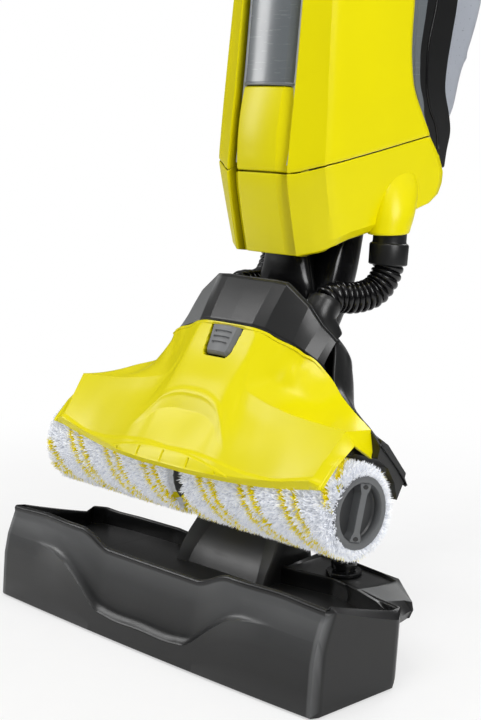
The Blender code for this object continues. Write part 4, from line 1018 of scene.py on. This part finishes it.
# Cross sections of the shell behind the collar and hood, from its front seam over the back to its lower edge.
SHELL_X = np.array([0, 30, 50, 62, 70, 74, 84, 98, 118, 138, 149.5])
SHELL_FRONT = np.array([(52, 240), (52, 240), (56, 230), (62, 221), (61, 216.8), (58, 213), (46, 190.5),
                        (41, 180.5), (32.5, 174.6), (25.5, 167.5), (21.5, 160.5)])
SHELL_CREST = np.array([(80, 228), (80, 226), (84, 213), (80, 206), (72, 205), (68, 201), (56, 186),
                        (48, 177), (38, 170), (30, 162.5), (26.5, 156.5)])
SHELL_BACK = np.array([(99, 200), (99, 198), (98, 192), (88, 191), (79, 193), (76, 186), (66, 172), (58, 162),
                       (50, 155), (44, 146), (41, 141)])
SHELL_LOW = np.array([(97, 166), (97, 166), (92, 164), (82, 162), (76, 160), (73, 157), (66, 152), (60, 146),
                      (55, 140), (50, 132), (48, 128.5)])


def make_rear_cover_of_head():
    """Rear shell of the head: a surface through four curves, front seam, crest, back and lower edge, read at
    x by the same table and mirrored; the crest and the back are rounded by a smooth curve through them."""
    at = both_sides(np.linspace(0, 149.5, 110))
    rows = [through(SHELL_X, table, np.abs(at))
            for table in (SHELL_FRONT, SHELL_CREST, SHELL_BACK, SHELL_LOW)]
    v = np.linspace(0, 3, 46)
    section = np.stack([through(np.arange(4), np.array([row[i] for row in rows]), v) for i in range(len(at))])
    x = np.broadcast_to(at[:, None], section.shape[:2])
    skin = np.concatenate([x[..., None], section], -1)
    grids = [(skin, (0, 1, 1))]
    for side in (-1, 1):
        end = skin[0 if side < 0 else -1]
        k = np.linspace(0, 1, 5)[:, None, None]
        chord = mix(end[0], end[-1], (v / 3)[:, None])
        grids.append((mix(end[None], chord[None], 0.7 * k), (side, 0, 0)))
    sheet("head_rear_shell", grids, "head", "graphite", wall=2.0, replaces="rear_shell", smooth=35)


def make_clips():
    """Clips beside the hood's seam: thin curved bars that follow an arc and taper at both ends."""
    for side, name in SIDES:
        v = np.linspace(0, 1, 24)
        spine = np.stack([74.5 + 1.5 * np.sin(PI * v) + 3.5 * v ** 2, 44.0 - 1.5 * v + 3 * v * v,
                          197 - 16 * v], -1)
        turn = circle(16)
        size = 1.6 * np.sin(PI * np.clip(v, 0.06, 0.94)) ** 0.4
        rings = spine[:, None] + np.stack([size[:, None] * np.cos(turn), 1.4 * size[:, None] * np.sin(turn),
                                           0.2 * size[:, None] * np.sin(turn)], -1)
        solid("seam_clip_" + name, rings * (side, 1, 1), "head", "grey")


def make_neck():
    """Neck: a barrel with rounded shoulders on the tilt pin, which rises as an oval tube."""
    turn = circle(72)
    along = np.array([226.5, 227.2, 229, 232, 236, 242, 247, 252, 258, 264, 272, 281.6])
    half_x = np.array([17, 19.5, 22, 25.0, 26.2, 26.5, 26.3, 25.2, 23.0, 21.2, 19.0, 18.0])
    half_y = np.array([4, 6.0, 8.2, 10.4, 12.0, 12.7, 13.3, 13.9, 14.4, 15.0, 16.4, 17.4])
    fine = np.linspace(226.5, 281.6, 70)
    hx, hy = through(along, half_x, fine), through(along, half_y, fine)
    rings = leaned(hx[:, None] * np.cos(turn), NECK_ACROSS + hy[:, None] * np.sin(turn), fine[:, None])
    solid("neck_barrel", rings, "yoke", "gloss_black", replaces="neck_yoke", smooth=40)
    profile = [(282.4, 12.6), (282.4, 17.0), (283.0, 17.6), (287.2, 17.6), (288, 17.0), (288.6, 15.2),
               (318, 15.0), (318, 12.6)]
    ring_body("neck_sleeve", upright(profile, NECK_ACROSS), "yoke", "gloss_black",
              replaces="neck_tube", smooth=35)


def make_bracket():
    """Bracket: two rounded ears that hold the tilt pin, on a block that sits on the cross beam."""
    for side, name in SIDES:
        ear = [(73.5, 178.5), (73.5, 232), (75, 238), (79, 243), (84, 244.5), (89, 241), (91, 235), (90, 222),
               (86, 178.5)]
        fine = straight(np.arange(9), np.array(ear), np.linspace(0, 8, 49))
        rings = [np.column_stack([np.full(49, side * x), mix(fine, fine.mean(0), s)]) for x, s in
                 ((28.3, 0.05), (28.9, 0.0), (32.4, 0.0), (33.0, 0.05))]
        solid("neck_ear_" + name, rings, "head", "gloss_black",
              replaces="neck_bracket" if side > 0 else None, smooth=35)
        solid("tilt_pin_head_" + name,
              turned([(33.1, 0.01), (33.1, 5.4), (34.4, 5.4), (35.0, 4.6), (35.0, 1.6), (34.2, 1.2),
                      (34.2, 0.01)],
                     (0, PIVOT_Y, PIVOT_Z), (side, 0, 0), 36), "head", "steel")
    block = [(70, 178.6), (70, 190), (72, 194), (86, 194), (90, 190), (91, 178.6)]
    rings = [np.column_stack([np.full(6, x), block]) for x in (-28.2, 28.2)]
    solid("neck_block", rings, "head", "gloss_black")


# ------------------------------------------------------------------ hoses
HOSE_ROUTE = np.array([(46.0, 76.5, 238.0), (47.0, 81.0, 240.0), (48.0, 86.3, 240.4), (50.5, 97.1, 239.2),
                       (53.0, 107.7, 239.6), (55.5, 118.0, 242.8), (57.4, 125.0, 249.9), (58.2, 129.0, 258.0),
                       (58.2, 130.6, 266.0)])
HOSE_POINTS, HOSE_PITCH, HOSE_VALLEY, HOSE_RIB = 420, 4.6, 9.2, 2.3
LOWER_SHARE = 0.45                       # share of the ribs that are in the half below the yoke


def tube_along(line, radius, sides):
    """Rings of the given radius at every point of a line, carried along it without twist."""
    tangent = np.gradient(line, axis=0)
    tangent /= np.linalg.norm(tangent, axis=1)[:, None]
    aside = np.array([1.0, 0.0, 0.0])
    across = []
    for t in tangent:
        aside = aside - t * (aside @ t)
        aside = aside / np.linalg.norm(aside)
        across.append(aside)
    across = np.array(across)[:, None]
    third = np.cross(tangent, across[:, 0])[:, None]
    turn = circle(sides)[:, None]
    return line[:, None] + radius[:, None, None] * (np.cos(turn) * across + np.sin(turn) * third)


def make_hose(side, name):
    """Corrugated hose, made as a lower and an upper half.  The wall is a tube along the
    route whose radius is 9.2 + 2.3 |sin(pi s / 4.6)|^0.55 at arc length s."""
    knots = np.concatenate([[0], np.cumsum(np.linalg.norm(np.diff(HOSE_ROUTE, axis=0), axis=1))])
    total = knots[-1]
    s = np.linspace(0, total, HOSE_POINTS)
    line = through(knots, HOSE_ROUTE * (side, 1, 1), s)
    ribs = round(total / HOSE_PITCH)
    radius = HOSE_VALLEY + HOSE_RIB * np.abs(np.sin(PI * ribs * s / total)) ** 0.55
    tube = tube_along(line, radius, 40)
    cut = int(round(ribs * LOWER_SHARE) / ribs * (HOSE_POINTS - 1))
    halves = ((tube[:cut + 1], "lower", "head", "yoke"), (tube[cut:], "upper", "yoke", "upper"))
    for rings, place, low_body, high_body in halves:
        piece = solid("hose_%s_%s" % (place, name), rings, None, "rubber", finish=GLOSS_BLACK,
                      replaces="hose_" + name if place == "lower" else None, smooth=60)
        tuple(rings[0].mean(0) * MM)
        tuple(rings[-1].mean(0) * MM)
        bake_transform(piece)


def make_hose_ends():
    """Boots that curve up from the head and narrow to the hose, and sockets turned in two steps."""
    for side, name in SIDES:
        s = np.linspace(0, 1, 30)
        route = np.array([(48.4, 73.5, 212.8), (47.4, 68.5, 227), (46.0, 77.0, 238.4)]) * (side, 1, 1)
        spine = through((0, 0.5, 1), route, s)
        radius = through((0, 0.3, 0.75, 0.9, 1.0), (12.8, 12.4, 12.0, 12.2, 11.8), s)
        solid("boot_" + name, tube_along(spine, radius, 48), "head", "gloss_black", finish=GRAPHITE,
              replaces="hose_boot_" + name, smooth=50)
        profile = [(0, 9.0), (0, 13.2), (0.8, 14.2), (14.5, 14.4), (15.6, 13.8), (16.2, 12.6), (17.6, 12.3),
                   (30, 12.3), (30, 9.0)]
        rings = turned(profile, (side * 58.2, 129.0, 261.0), (0, 0.10, 1), 64)
        ring_body("socket_" + name, rings, "upper", "gloss_black", finish=GRAPHITE,
                  replaces="hose_socket_" + name, smooth=35)


def make_cowl():
    """Cowl behind the neck, between head and body: a box with well rounded corners (a superellipse of power
    5) whose centre runs back as it rises."""
    z = np.linspace(203.0, 284.0, 60)
    centre = through((203, 222, 267, 284), (87.0, 98.0, 118.0, 126.0), z)
    depth = through((203, 222, 262, 284), (13.5, 15.0, 16.5, 15.0), z)
    half = through((203, 255, 284), (34.0, 33.5, 29.0), z)
    cx, sy = oval(96, 0.4)
    z, centre, depth, half = (v[:, None] for v in (z, centre, depth, half))
    rings = np.stack(np.broadcast_arrays(half * cx, centre + depth * sy, z), -1)
    # Painted reflection: the cowl's rear corners are painted pale grey.
    pale = 0.9 * ease(0.5 * sy + 0.5 * np.abs(cx), 0.62, 0.95) * np.ones((60, 1))
    piece = solid("neck_cowl", rings, None, "gloss_black", marks={"pale": pale}, smooth=60)
    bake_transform(piece)


make_collar()
make_rear_cover_of_head()
make_clips()
make_neck()
make_bracket()
for each_side in SIDES[::-1]:
    make_hose(*each_side)
make_hose_ends()
make_cowl()


# ------------------------------------------------------------------ upright body
# Height before the lean, then front of the strip, depth of the front corner, half width, depth of the rear
# edge, and how steeply the row climbs to the rear.
BODY_ROWS = np.array([(271, 57.8, 72.0, 56.2, 164.0, 0.29), (300, 48.3, 64.5, 57.0, 162.0, 0.29),
                      (328, 41.2, 58.5, 57.5, 160.0, 0.29), (345, 41.0, 57.6, 57.1, 151.0, 0.28),
                      (365, 41.0, 57.0, 56.5, 140.8, 0.27), (400, 41.5, 56.0, 55.0, 134.5, 0.20),
                      (450, 41.0, 55.0, 53.0, 133.5, 0.12), (560, 41.0, 56.0, 52.0, 133.0, 0.0),
                      (660, 46.0, 62.0, 48.0, 127.0, 0.0), (720, 60.0, 76.0, 38.0, 112.0, 0.0),
                      (745, 72.0, 84.0, 28.0, 100.0, 0.0)])
REAR_EDGE = np.array([(336, 174.0), (367, 160.0), (376, 154.0), (384, 146.0), (394, 140.0), (421, 134.5),
                      (460, 133.5), (560, 133.0), (660, 127.0), (720, 112.0)])
# Lower edge of the base: place along the section, half width, depth and height.
BASE_FOOT = np.array([(0, 29.6, 69.8, 270.9), (1, 29.8, 59.2, 270.9), (1.8, 31.0, 57.8, 270.9),
                      (3, 43.0, 64.8, 275.0), (3.8, 52.3, 72.0, 279.3), (4.1, 54.6, 76.0, 281.0),
                      (4.4, 55.8, 80.0, 283.0), (5, 56.4, 87.0, 286.0), (6, 57.0, 113.0, 293.6),
                      (7, 57.0, 155.6, 311.4)])
SEAM, WINDOW_FOOT, WINDOW_TOP, STRIP_TOP, BODY_TOP = 328.0, 390.0, 556.0, 560.0, 745.0
STRIP_HALF, CREASE_HALF, GROOVE_HALF, CAP_HALF = 28.0, 19.5, 29.4, 29.0
CHAMFER_FROM = 0.895                     # share of the way down the base where its foot turns in


def body_at(along):
    """Front, corner, half width, rear edge and climb of the body's row."""
    return np.moveaxis(read(BODY_ROWS, along), -1, 0)


def rear_at(along):
    """Depth of the rear edge of the body's sides."""
    return read(REAR_EDGE, along)[..., 0]


def strip_section(x, front):
    """Front strip: the middle follows 1.8 ((x / 19.5)^2 - 1) up to the creases, and the facets beyond them
    fall back by another 7.4."""
    wide = np.abs(x)
    return front - 1.8 + 1.8 * (x / CREASE_HALF) ** 2 * (wide < CREASE_HALF) + (wide >= CREASE_HALF) * (
        1.8 + 7.4 * (wide - CREASE_HALF) / (STRIP_HALF - CREASE_HALF))


# Places along a side's section where it is read, from the groove (0) round to the rear edge (7).
ACROSS = np.concatenate([[0, 0.5, 1, 1.2, 1.4, 1.6, 1.8], np.linspace(2.1, 3.8, 9),
                         [3.95, 4.1, 4.25, 4.4, 4.7, 5], np.linspace(5.15, 6.8, 14), [6.93, 7]])


def wing_section(along, side):
    """One side of the body at each height: groove wall, thin bright edge, front facet, rounded corner, side
    and rear edge, read at the places in ACROSS."""
    front, corner, half, rear, climb = (v[:, None] for v in body_at(along))
    flat = 0 * half
    places = (0, 1, 1.4, 1.8, 3, 3.8, 4.1, 4.4, 5, 6, 7)
    knots = [(29.6 + flat, front + 12.0), (29.8 + flat, front + 1.4), (30.2 + flat, front + 0.4),
             (31.0 + flat, front + 0.1), (mix(28.5, half, 0.55), mix(front, corner, 0.45)),
             (half - 3.0, corner - 4.4), (half - 1.3, corner - 1.6), (half - 0.3, corner + 2.0),
             (half + 0.1, corner + 7.0), (half + 0.8, mix(corner, rear, 0.5)), (half - 0.5, rear)]
    x, y = (np.stack([straight(places, row, ACROSS) for row in np.concatenate([k[i] for k in knots], 1)])
            for i in (0, 1))
    step = 4.0 * ease(y - front, 1.0, 17.0) * (1 - ease(along[:, None], 340, 420))
    return x * side, y, along[:, None] + climb * (y - front) + step, front


def groove_shade(count):
    """Shade inside the groove beside the strip, 0.6 at its foot and gone at the wing's edge."""
    return np.tile(0.6 * (1 - ease(ACROSS, 0.3, 1.4)), (count, 1))


def make_side(side, name):
    """Side shell: rows of the wing section from the seam to the top.  Above the window the inner edge runs
    to the middle and closes the front."""
    along = np.concatenate([[SEAM + 0.45, SEAM + 0.75, SEAM + 1.5],
                            np.linspace(SEAM + 3, STRIP_TOP - 0.5, 76), [STRIP_TOP]])
    x, y, z, _ = wing_section(along, side)
    inward = np.array([1.6, 0.5, 0.1] + [0] * (len(along) - 3))[:, None]
    y = y + inward * 0.5
    lower = leaned(x - side * inward * 0.7 * (np.abs(x) > 40), y, z)
    rise = np.concatenate([[STRIP_TOP], np.linspace(STRIP_TOP + 1, BODY_TOP - 1, 60)])
    ux, uy, uz, top_front = wing_section(rise, side)
    start = np.linspace(0.3, CAP_HALF, 8)[None, :]
    cap_y = top_front - 0.8 + 0.9 * (start / CAP_HALF) ** 2
    half = body_at(rise)[2][:, None]
    ux = np.minimum(np.abs(ux), half + 0.8) * side
    cap = leaned(np.minimum(start, half * start / CAP_HALF) * side, cap_y, rise[:, None])
    upper = np.concatenate([cap, leaned(ux[:, 4:], uy[:, 4:], uz[:, 4:])], 1)
    shade = [groove_shade(len(along)), np.zeros(upper.shape[:2]), np.zeros((3, 9))]
    lip = np.stack([upper[0], upper[0] + (0, 2.5, -1.2), upper[0] + (0, 9.0, -1.2)])[:, :9]
    sheet("side_shell_" + name, [(lower, (side, -0.5, 0)), (upper, (side, -0.5, 0)), (lip, (0, 0, -1))],
          "upper", "yellow", wall=2.0, replaces="body_shell_" + name, smooth=24,
          marks={"dark": shade})


def make_base():
    """Base shell: a patch from the seam's section down to the lower edge, P = (1-w) seam + w foot, with a
    rear edge that swells 21.5 behind the straight line, a chamfer along the foot and the strip between.
    Each hose housing is an oval column under its rear corner that narrows as it rises into the shell."""
    w = np.concatenate([[0, 0.003, 0.012], np.linspace(0.03, 0.88, 36),
                        [CHAMFER_FROM, 0.91, 0.94, 0.97, 0.99, 1.0, 1.0, 1.0]])
    fold = np.concatenate([[1.4, 0.5, 0.1], np.zeros(len(w) - 6), [0.5, 2.0, 5.0]])[:, None]
    x0, y0, z0, front = wing_section(np.array([SEAM - 0.4]), 1)
    foot = np.stack([straight(BASE_FOOT[:, 0], BASE_FOOT[:, k], ACROSS) for k in (1, 2, 3)])
    share = w[:, None]
    along = mix(SEAM - 0.4, BASE_FOOT[0, 3], w)
    bend = (body_at(along)[0] - mix(front[0, 0], BODY_ROWS[0, 1], w))[:, None] * (1 - ease(ACROSS, 2.0, 5.0))
    swell = straight((0, 0.25, 0.45, 0.6, 0.75, 0.88, 1), (0, 14, 21, 21.5, 19, 11, 0), w)[:, None]
    late = np.clip((ACROSS - 5) / 2, 0, 1)[None] ** 2
    x = mix(x0, foot[0][None], share)
    y = mix(y0, foot[1][None], share) + bend + swell * late
    z = mix(z0, foot[2][None], share)
    outer = ease(ACROSS, 3.0, 4.4)[None]
    x = x - outer * (3.6 * np.clip((share - CHAMFER_FROM) / (1 - CHAMFER_FROM), 0, 1) + fold * 0.8)
    y = y + (1 - outer) * fold * (ACROSS > 1.3)
    middle_x = np.concatenate([np.linspace(-GROOVE_HALF, -CREASE_HALF, 8)[:-1],
                               np.linspace(-CREASE_HALF, CREASE_HALF, 27),
                               np.linspace(CREASE_HALF, GROOVE_HALF, 8)[1:]])[None]
    strip = strip_section(np.clip(middle_x, -STRIP_HALF, STRIP_HALF), body_at(along)[0][:, None]) + fold
    middle = leaned(middle_x, strip, along[:, None])
    right, left = leaned(x, y, z), leaned(-x, y, z)
    whole = np.concatenate([left[:, ::-1], middle, right], 1)
    shade = groove_shade(len(w))
    sheet("base_body", [(whole, (0, -1, 0))], "upper", "yellow", wall=2.0, replaces="base_shell",
          smooth=24, marks={"dark": [np.concatenate([shade[:, ::-1], np.zeros(strip.shape), shade], 1)]})
    turn = circle(64)
    z = np.concatenate([[283.6, 283.9, 284.8], np.linspace(286, 331, 44)])
    knots = (283, 300, 315, 332)
    centre = through(knots, [(57.6, 129.6), (57.4, 136.5), (54.5, 144.0), (47.0, 152.0)], z)
    size = through(knots, [(14.6, 16.0), (13.6, 17.5), (10.5, 18.0), (7.0, 14.0)], z)
    for side, name in SIDES:
        rings = np.stack([side * (centre[:, :1] + size[:, :1] * np.cos(turn)),
                          centre[:, 1:] + size[:, 1:] * np.sin(turn), z[:, None] + 0 * turn], -1)
        low = rings[:2, :, :2]
        rings[:2, :, :2] = mix(low, low.mean(1, keepdims=True), np.array([0.09, 0.03])[:, None, None])
        solid("hose_housing_" + name, rings, "upper", "yellow", smooth=50)


def make_strip():
    """Front strip: the puffed yellow panel of the lower tank and, above a dark gap, the tinted window."""
    x = both_sides(np.concatenate([np.linspace(0, CREASE_HALF, 16),
                                   np.linspace(CREASE_HALF, STRIP_HALF, 7)[1:]]))
    for name, low, high, puff, slot, node in (
            ("lower_panel", SEAM + 0.7, WINDOW_FOOT - 1.2, 2.4, "yellow", "tank_front_panel"),
            ("window", WINDOW_FOOT, WINDOW_TOP, 0.0, "strip_grey", "tank_window")):
        along = np.concatenate([[low, low + 0.3, low + 1.2], np.linspace(low + 3, high - 3, 50),
                                [high - 1.2, high - 0.3, high]])
        front = body_at(along)[0]
        share = (along - low) / (high - low)
        edge = np.minimum(along - low, high - along)
        tuck = 1.6 * (1 - np.clip(edge / 1.2, 0, 1)) ** 2
        bulge = puff * np.sin(PI * share) ** 0.8
        y = strip_section(x, front[:, None]) + (tuck - bulge)[:, None]
        skin = leaned(x, y, along[:, None])
        sheet(name, [(skin, (0, -1, 0))], "dirty", slot, wall=1.8, replaces=node, smooth=16)
    for name, low, high, sink, slot in (
            ("window_bead", -0.9, 1.6, (-0.2, -0.7, -0.9, -0.7, -0.1), "strip_grey"),
            ("strip_gasket", -6, 3, (1.9, 1.9, 1.9, 1.9), "rubber")):
        lip = np.linspace(WINDOW_FOOT + low, WINDOW_FOOT + high, len(sink))[:, None]
        y = strip_section(x, body_at(lip[:, 0])[0][:, None]) + np.array(sink)[:, None]
        sheet(name, [(leaned(x, y, lip), (0, -1, 0))], "dirty", slot, wall=0.8, smooth=40)


def make_trims():
    """Grey trim behind each side's rear edge: 16.5 at its widest, with a groove, and a point at its foot."""
    along = np.concatenate([np.linspace(364, 420, 40), np.linspace(424, 640, 50)])
    for side, name in SIDES:
        wide = through((364, 376, 389, 404, 424, 443, 464, 560, 640),
                       (0.2, 1.6, 9.6, 9.9, 10.4, 13.0, 15.2, 16.5, 14.0), along)
        v = np.array([-0.04, 0.0, 0.03, 0.30, 0.36, 0.42, 0.70, 0.95, 1.0, 1.0])
        out = np.array([-0.9, -0.5, -0.1, -0.5, -0.9, 0.0, 0.3, 0.0, -0.6, -2.4])
        half = body_at(along)[2][:, None] - 0.9
        y = rear_at(along)[:, None] + 0.6 + wide[:, None] * v
        skin = leaned(side * (half + out), y, along[:, None])
        sheet("rear_trim_" + name, [(skin, (side, 0, 0))], "upper", "strip_grey", wall=1.2, smooth=30)


def make_rear_frame():
    """Rear frame: a channel with bevelled edges that is deeper towards the foot, and a rib on each side."""
    along = np.linspace(345, 640, 90)
    front = rear_at(along) + 1.6
    back = through((345, 358, 373, 387, 400, 421, 437, 470, 560, 640),
                   (188, 188.5, 190, 185.6, 180, 179.4, 181.4, 185, 185, 180), along)
    bow = 1.2 * bump(along, 385, 60)
    half = np.minimum(50.8 + bow, body_at(along)[2] - 2.0)
    knots = [(-half, back), (-half, front), (half, front), (half, back), (half - 4, back),
             (half - 4, front + 5), (4 - half, front + 5), (4 - half, back)]
    rings = np.stack([leaned(x, y, along) for x, y in knots], 1)
    frame_piece = solid("rear_channel", rings, "upper", "gloss_black", finish=GRAPHITE, replaces="rear_frame",
                        smooth=30)
    soften(frame_piece, 1.4, 3, 40)
    for side, name in SIDES:
        ledge = front + through((345, 389, 404, 424, 464, 640), (6, 16, 17, 18, 24, 24), along)
        y = np.stack([ledge, ledge + 0.8, ledge + 2.2, ledge + 3.0], 1)
        x = np.stack([half + 0.05, half + 0.7, half + 0.7, half + 0.05], 1) * side
        sheet("frame_rib_" + name,
              [(leaned(x[4:], y[4:], along[4:, None]), (side, 0, 0))], "upper", "gloss_black",
              wall=0.6, smooth=40)


def rounded(corners, radius, steps=6):
    """Outline with rounded corners: each becomes a quadratic arc that starts and ends at the radius."""
    corners = np.asarray(corners, float)
    before, after = np.roll(corners, 1, 0), np.roll(corners, -1, 0)
    a = corners + (before - corners) / np.linalg.norm(before - corners, axis=1)[:, None] * radius
    b = corners + (after - corners) / np.linalg.norm(after - corners, axis=1)[:, None] * radius
    t = np.linspace(0, 1, steps)[None, :, None]
    arcs = (1 - t) ** 2 * a[:, None] + 2 * t * (1 - t) * corners[:, None] + t * t * b[:, None]
    return arcs.reshape(-1, 2)


FRESH = np.array([(352, 12), (358, 18), (370, 31), (383, 53), (421, 75), (460, 88), (560, 92), (625, 85)])


def fresh_outline(along, inset):
    """Plan of the fresh tank at a height: an oblong with its rear corners cut and all corners rounded."""
    base = rear_at(along) + 7.4
    depth = float(read(FRESH, along)[0])
    half, low, high = 44.5 - inset, base + inset, base + depth - inset
    cut = min(12.0, depth * 0.35)
    return rounded([(-half, low), (half, low), (half, high - cut), (half - cut, high), (cut - half, high),
                    (-half, high - cut)], min(5.0, depth * 0.16))


def make_fresh_tank():
    """Fresh water tank: open-topped wall with rounded corners, its cap with a finger rim, and a water level
    line moulded round it."""
    heights = np.concatenate([[352, 352.6, 354], np.linspace(357, 622, 70), [624, 625]])
    grow = np.concatenate([[2.0, 0.8, 0.2], np.zeros(70), [0.1, 0.4]])
    for mark in (430, 500, 570):
        grow = grow - 0.7 * bump(heights, mark, 5.0)
    outer = [leaned(*fresh_outline(h, g).T, h) for h, g in zip(heights, grow)]
    inner = [leaned(*fresh_outline(h, 2.0).T, h) for h in (625, 560, 460, 403, 380, 368)]
    solid("fresh_tank_wall", outer + inner, "fresh", "clear_tank", replaces="fresh_tank", smooth=35)
    rings = [leaned(*fresh_outline(625, g).T, h) for h, g in
             ((625.3, 0.4), (625.6, 0.0), (629.0, 0.0), (629.6, 0.6), (629.8, 2.0), (632.8, 4.0),
              (633.6, 5.2), (633.8, 8.0), (632.6, 9.0), (632.6, 16.0))]
    solid("fresh_cap", rings, "fresh", "graphite", replaces="fresh_tank_cap", smooth=30)


def make_rear_cover():
    """Cover above the fresh tank: a cambered surface with shallow vent louvres across it."""
    along = np.linspace(641, BODY_TOP - 1, 120)
    u = np.linspace(-1, 1, 41)
    rows = body_at(along)
    half, edge = rows[2][:, None] - 3.2, rows[3][:, None] - 0.5
    slots = np.sin((along - 655) * 2 * PI / 7.0)[:, None] * (1 - ease(np.abs(u), 0.55, 0.6)) * (
        ease(along, 652, 655) * (1 - ease(along, 694, 697)))[:, None]
    y = edge + 5.0 * (1 - u ** 2) - 0.9 * slots
    skin = leaned(half * u, y, along[:, None])
    sheet("rear_cap", [(skin, (0, 1, 0))], "upper", "gloss_black", finish=GRAPHITE, wall=2.0,
          replaces="rear_cover", smooth=40)


for each_side in SIDES:
    make_side(*each_side)
make_base()
make_strip()
make_trims()
make_rear_frame()
make_fresh_tank()
make_rear_cover()


# ------------------------------------------------------------------ handle
SHAFT_ACROSS = 86.0                       # depth of the shaft's axis, before the lean
HOOK_ALONG, GLAND_ALONG = 1100.0, 775.0
SWITCH_HALF, SWITCH_LOW, SWITCH_HIGH = 6.4, 1149.0, 1171.0


def make_shaft():
    """Shaft: a socket collar at its foot, a slim tube with a seam ring, and its open top."""
    profile = [(745.4, 11.5), (745.4, 18.4), (746.0, 19.0), (748.2, 19.0), (749.0, 18.5), (752, 17.0),
               (758, 14.8), (764, 14.1), (800, 14.0), (801, 13.4), (802, 13.4), (803, 14.0), (1120, 14.0),
               (1121, 13.4), (1122, 13.4), (1123, 14.0), (1129.6, 14.0), (1130, 13.6), (1130, 11.5)]
    ring_body("shaft", upright(profile, SHAFT_ACROSS), "upper", "graphite",
              replaces="handle_shaft", smooth=30)


def make_grip():
    """Grip: an oval loft whose centre drifts back, with a waist, ribs under the fingers and a domed top; the
    switch well is cut into its front."""
    knots = np.array([(1130.5, 86, 16.2, 17.2), (1132, 86, 17, 18), (1142, 86, 18, 20), (1160, 90, 16, 18),
                      (1195, 97, 15, 17), (1230, 103, 16, 18), (1240, 104.7, 14.8, 16.4),
                      (1245, 105.6, 11.5, 12.8), (1247, 106, 7, 8)])
    at = np.concatenate([np.linspace(1130.5, 1244, 190), np.linspace(1244.4, 1247, 12)])
    centre, half_x, half_y = read(knots, at).T[..., None]
    cx, sy = oval(96)
    rings = leaned(half_x * cx, centre + half_y * sy, at[:, None])
    ribs = 0.35 * np.sin(at * 2 * PI / 5.0) * ease(at, 1180, 1184) * (1 - ease(at, 1226, 1230))
    rings[..., 1] += ribs[:, None] * ease(sy, 0.1, 0.5)
    grip = solid("grip", rings, "upper", "graphite", finish=RUBBER, replaces="handle_grip", smooth=50)
    outline = rounded([(-7.4, 1147), (7.4, 1147), (7.4, 1181), (-7.4, 1181)], 2.5)
    count = len(outline)
    points = np.concatenate([leaned(outline[:, 0], y, outline[:, 1]) for y in (60.0, 77.2)])
    well = mesh_from("switch_well", points, grid_faces(2, count, True),
                     (np.arange(count)[::-1], np.arange(count) + count))
    hollow = bpy.data.objects.new("switch_well", well)
    bpy.context.scene.collection.objects.link(hollow)
    hollow.hide_render = hollow.hide_viewport = True
    cut = grip.modifiers.new("well", "BOOLEAN")
    cut.operation, cut.object = "DIFFERENCE", hollow


def make_switch():
    """Slide switch: a rounded key with five grip ridges, domed across its length."""
    u, v = crossed(np.linspace(-SWITCH_HALF, SWITCH_HALF, 41), np.linspace(SWITCH_LOW, SWITCH_HIGH, 111))
    edge = np.minimum(SWITCH_HALF - np.abs(u), np.minimum(v - SWITCH_LOW, SWITCH_HIGH - v))
    dome = 0.8 * np.clip(edge / 1.4, 0, 1) ** 0.5
    ridges = 0.45 * np.clip(np.sin((v - 1152.5) * 2 * PI / 3.0), 0, 1) * ease(v, 1152.5, 1153.5) * (
        1 - ease(v, 1167, 1168)) * ease(edge, 0.6, 1.4)
    skin = leaned(u, 71.9 - dome - ridges, v)
    sheet("switch_key", [(skin, (0, -1, 0))], "switch", "grey", wall=4.0, replaces="power_switch", smooth=30)


def make_hook():
    """Cable hook: a J section with rounded corners carried across its width, on a round boss."""
    root, reach, lip = 101.0, 126.0, 5.2
    outline = [(root, -7), (reach, -7), (reach, 22), (reach - lip, 22), (reach - lip, 2), (root, 2)]
    fine = rounded(outline, 2.2, 8)
    rings = [leaned(x, mix(fine[:, 0], 114.0, s), HOOK_ALONG + mix(fine[:, 1], 0.0, s)) for x, s in
             ((-8, 0.04), (-7.6, 0.0), (7.6, 0.0), (8, 0.04))]
    solid("hook", rings, "hook", "graphite", replaces="cable_hook", smooth=35)


def make_gland():
    """Cable gland: a flange and a tapering sleeve with bend-relief grooves."""
    at = np.linspace(4.0, 19.4, 90)
    sleeve = [(t, mix(5.5, 4.2, (t - 4) / 16) - 0.55 * (np.sin(t * 2 * PI / 2.6) > 0.3)) for t in at]
    profile = [(0.3, 0.01), (0.3, 7.2), (0.6, 7.5), (2.6, 7.5), (3.0, 7.1), (3.4, 5.7)] + sleeve + [
        (19.9, 3.8), (20.0, 3.2), (20.0, 0.01)]
    rings = turned(profile, leaned(0, SHAFT_ACROSS + 14, GLAND_ALONG), LEAN_BACK, 48)
    solid("gland", rings, "upper", "rubber", replaces="cable_gland", smooth=40)


make_shaft()
make_grip()
make_switch()
make_hook()
make_gland()

# CAD nodes that stay take the finish of their own slot.
slot_of = {part["node"]: part["material_slot"] for part in frame["record"]["subparts"]}
for node_name, thing in frame["nodes"].items():
    thing.data.materials.clear()
    thing.data.materials.append(SLOTS[slot_of[node_name]])
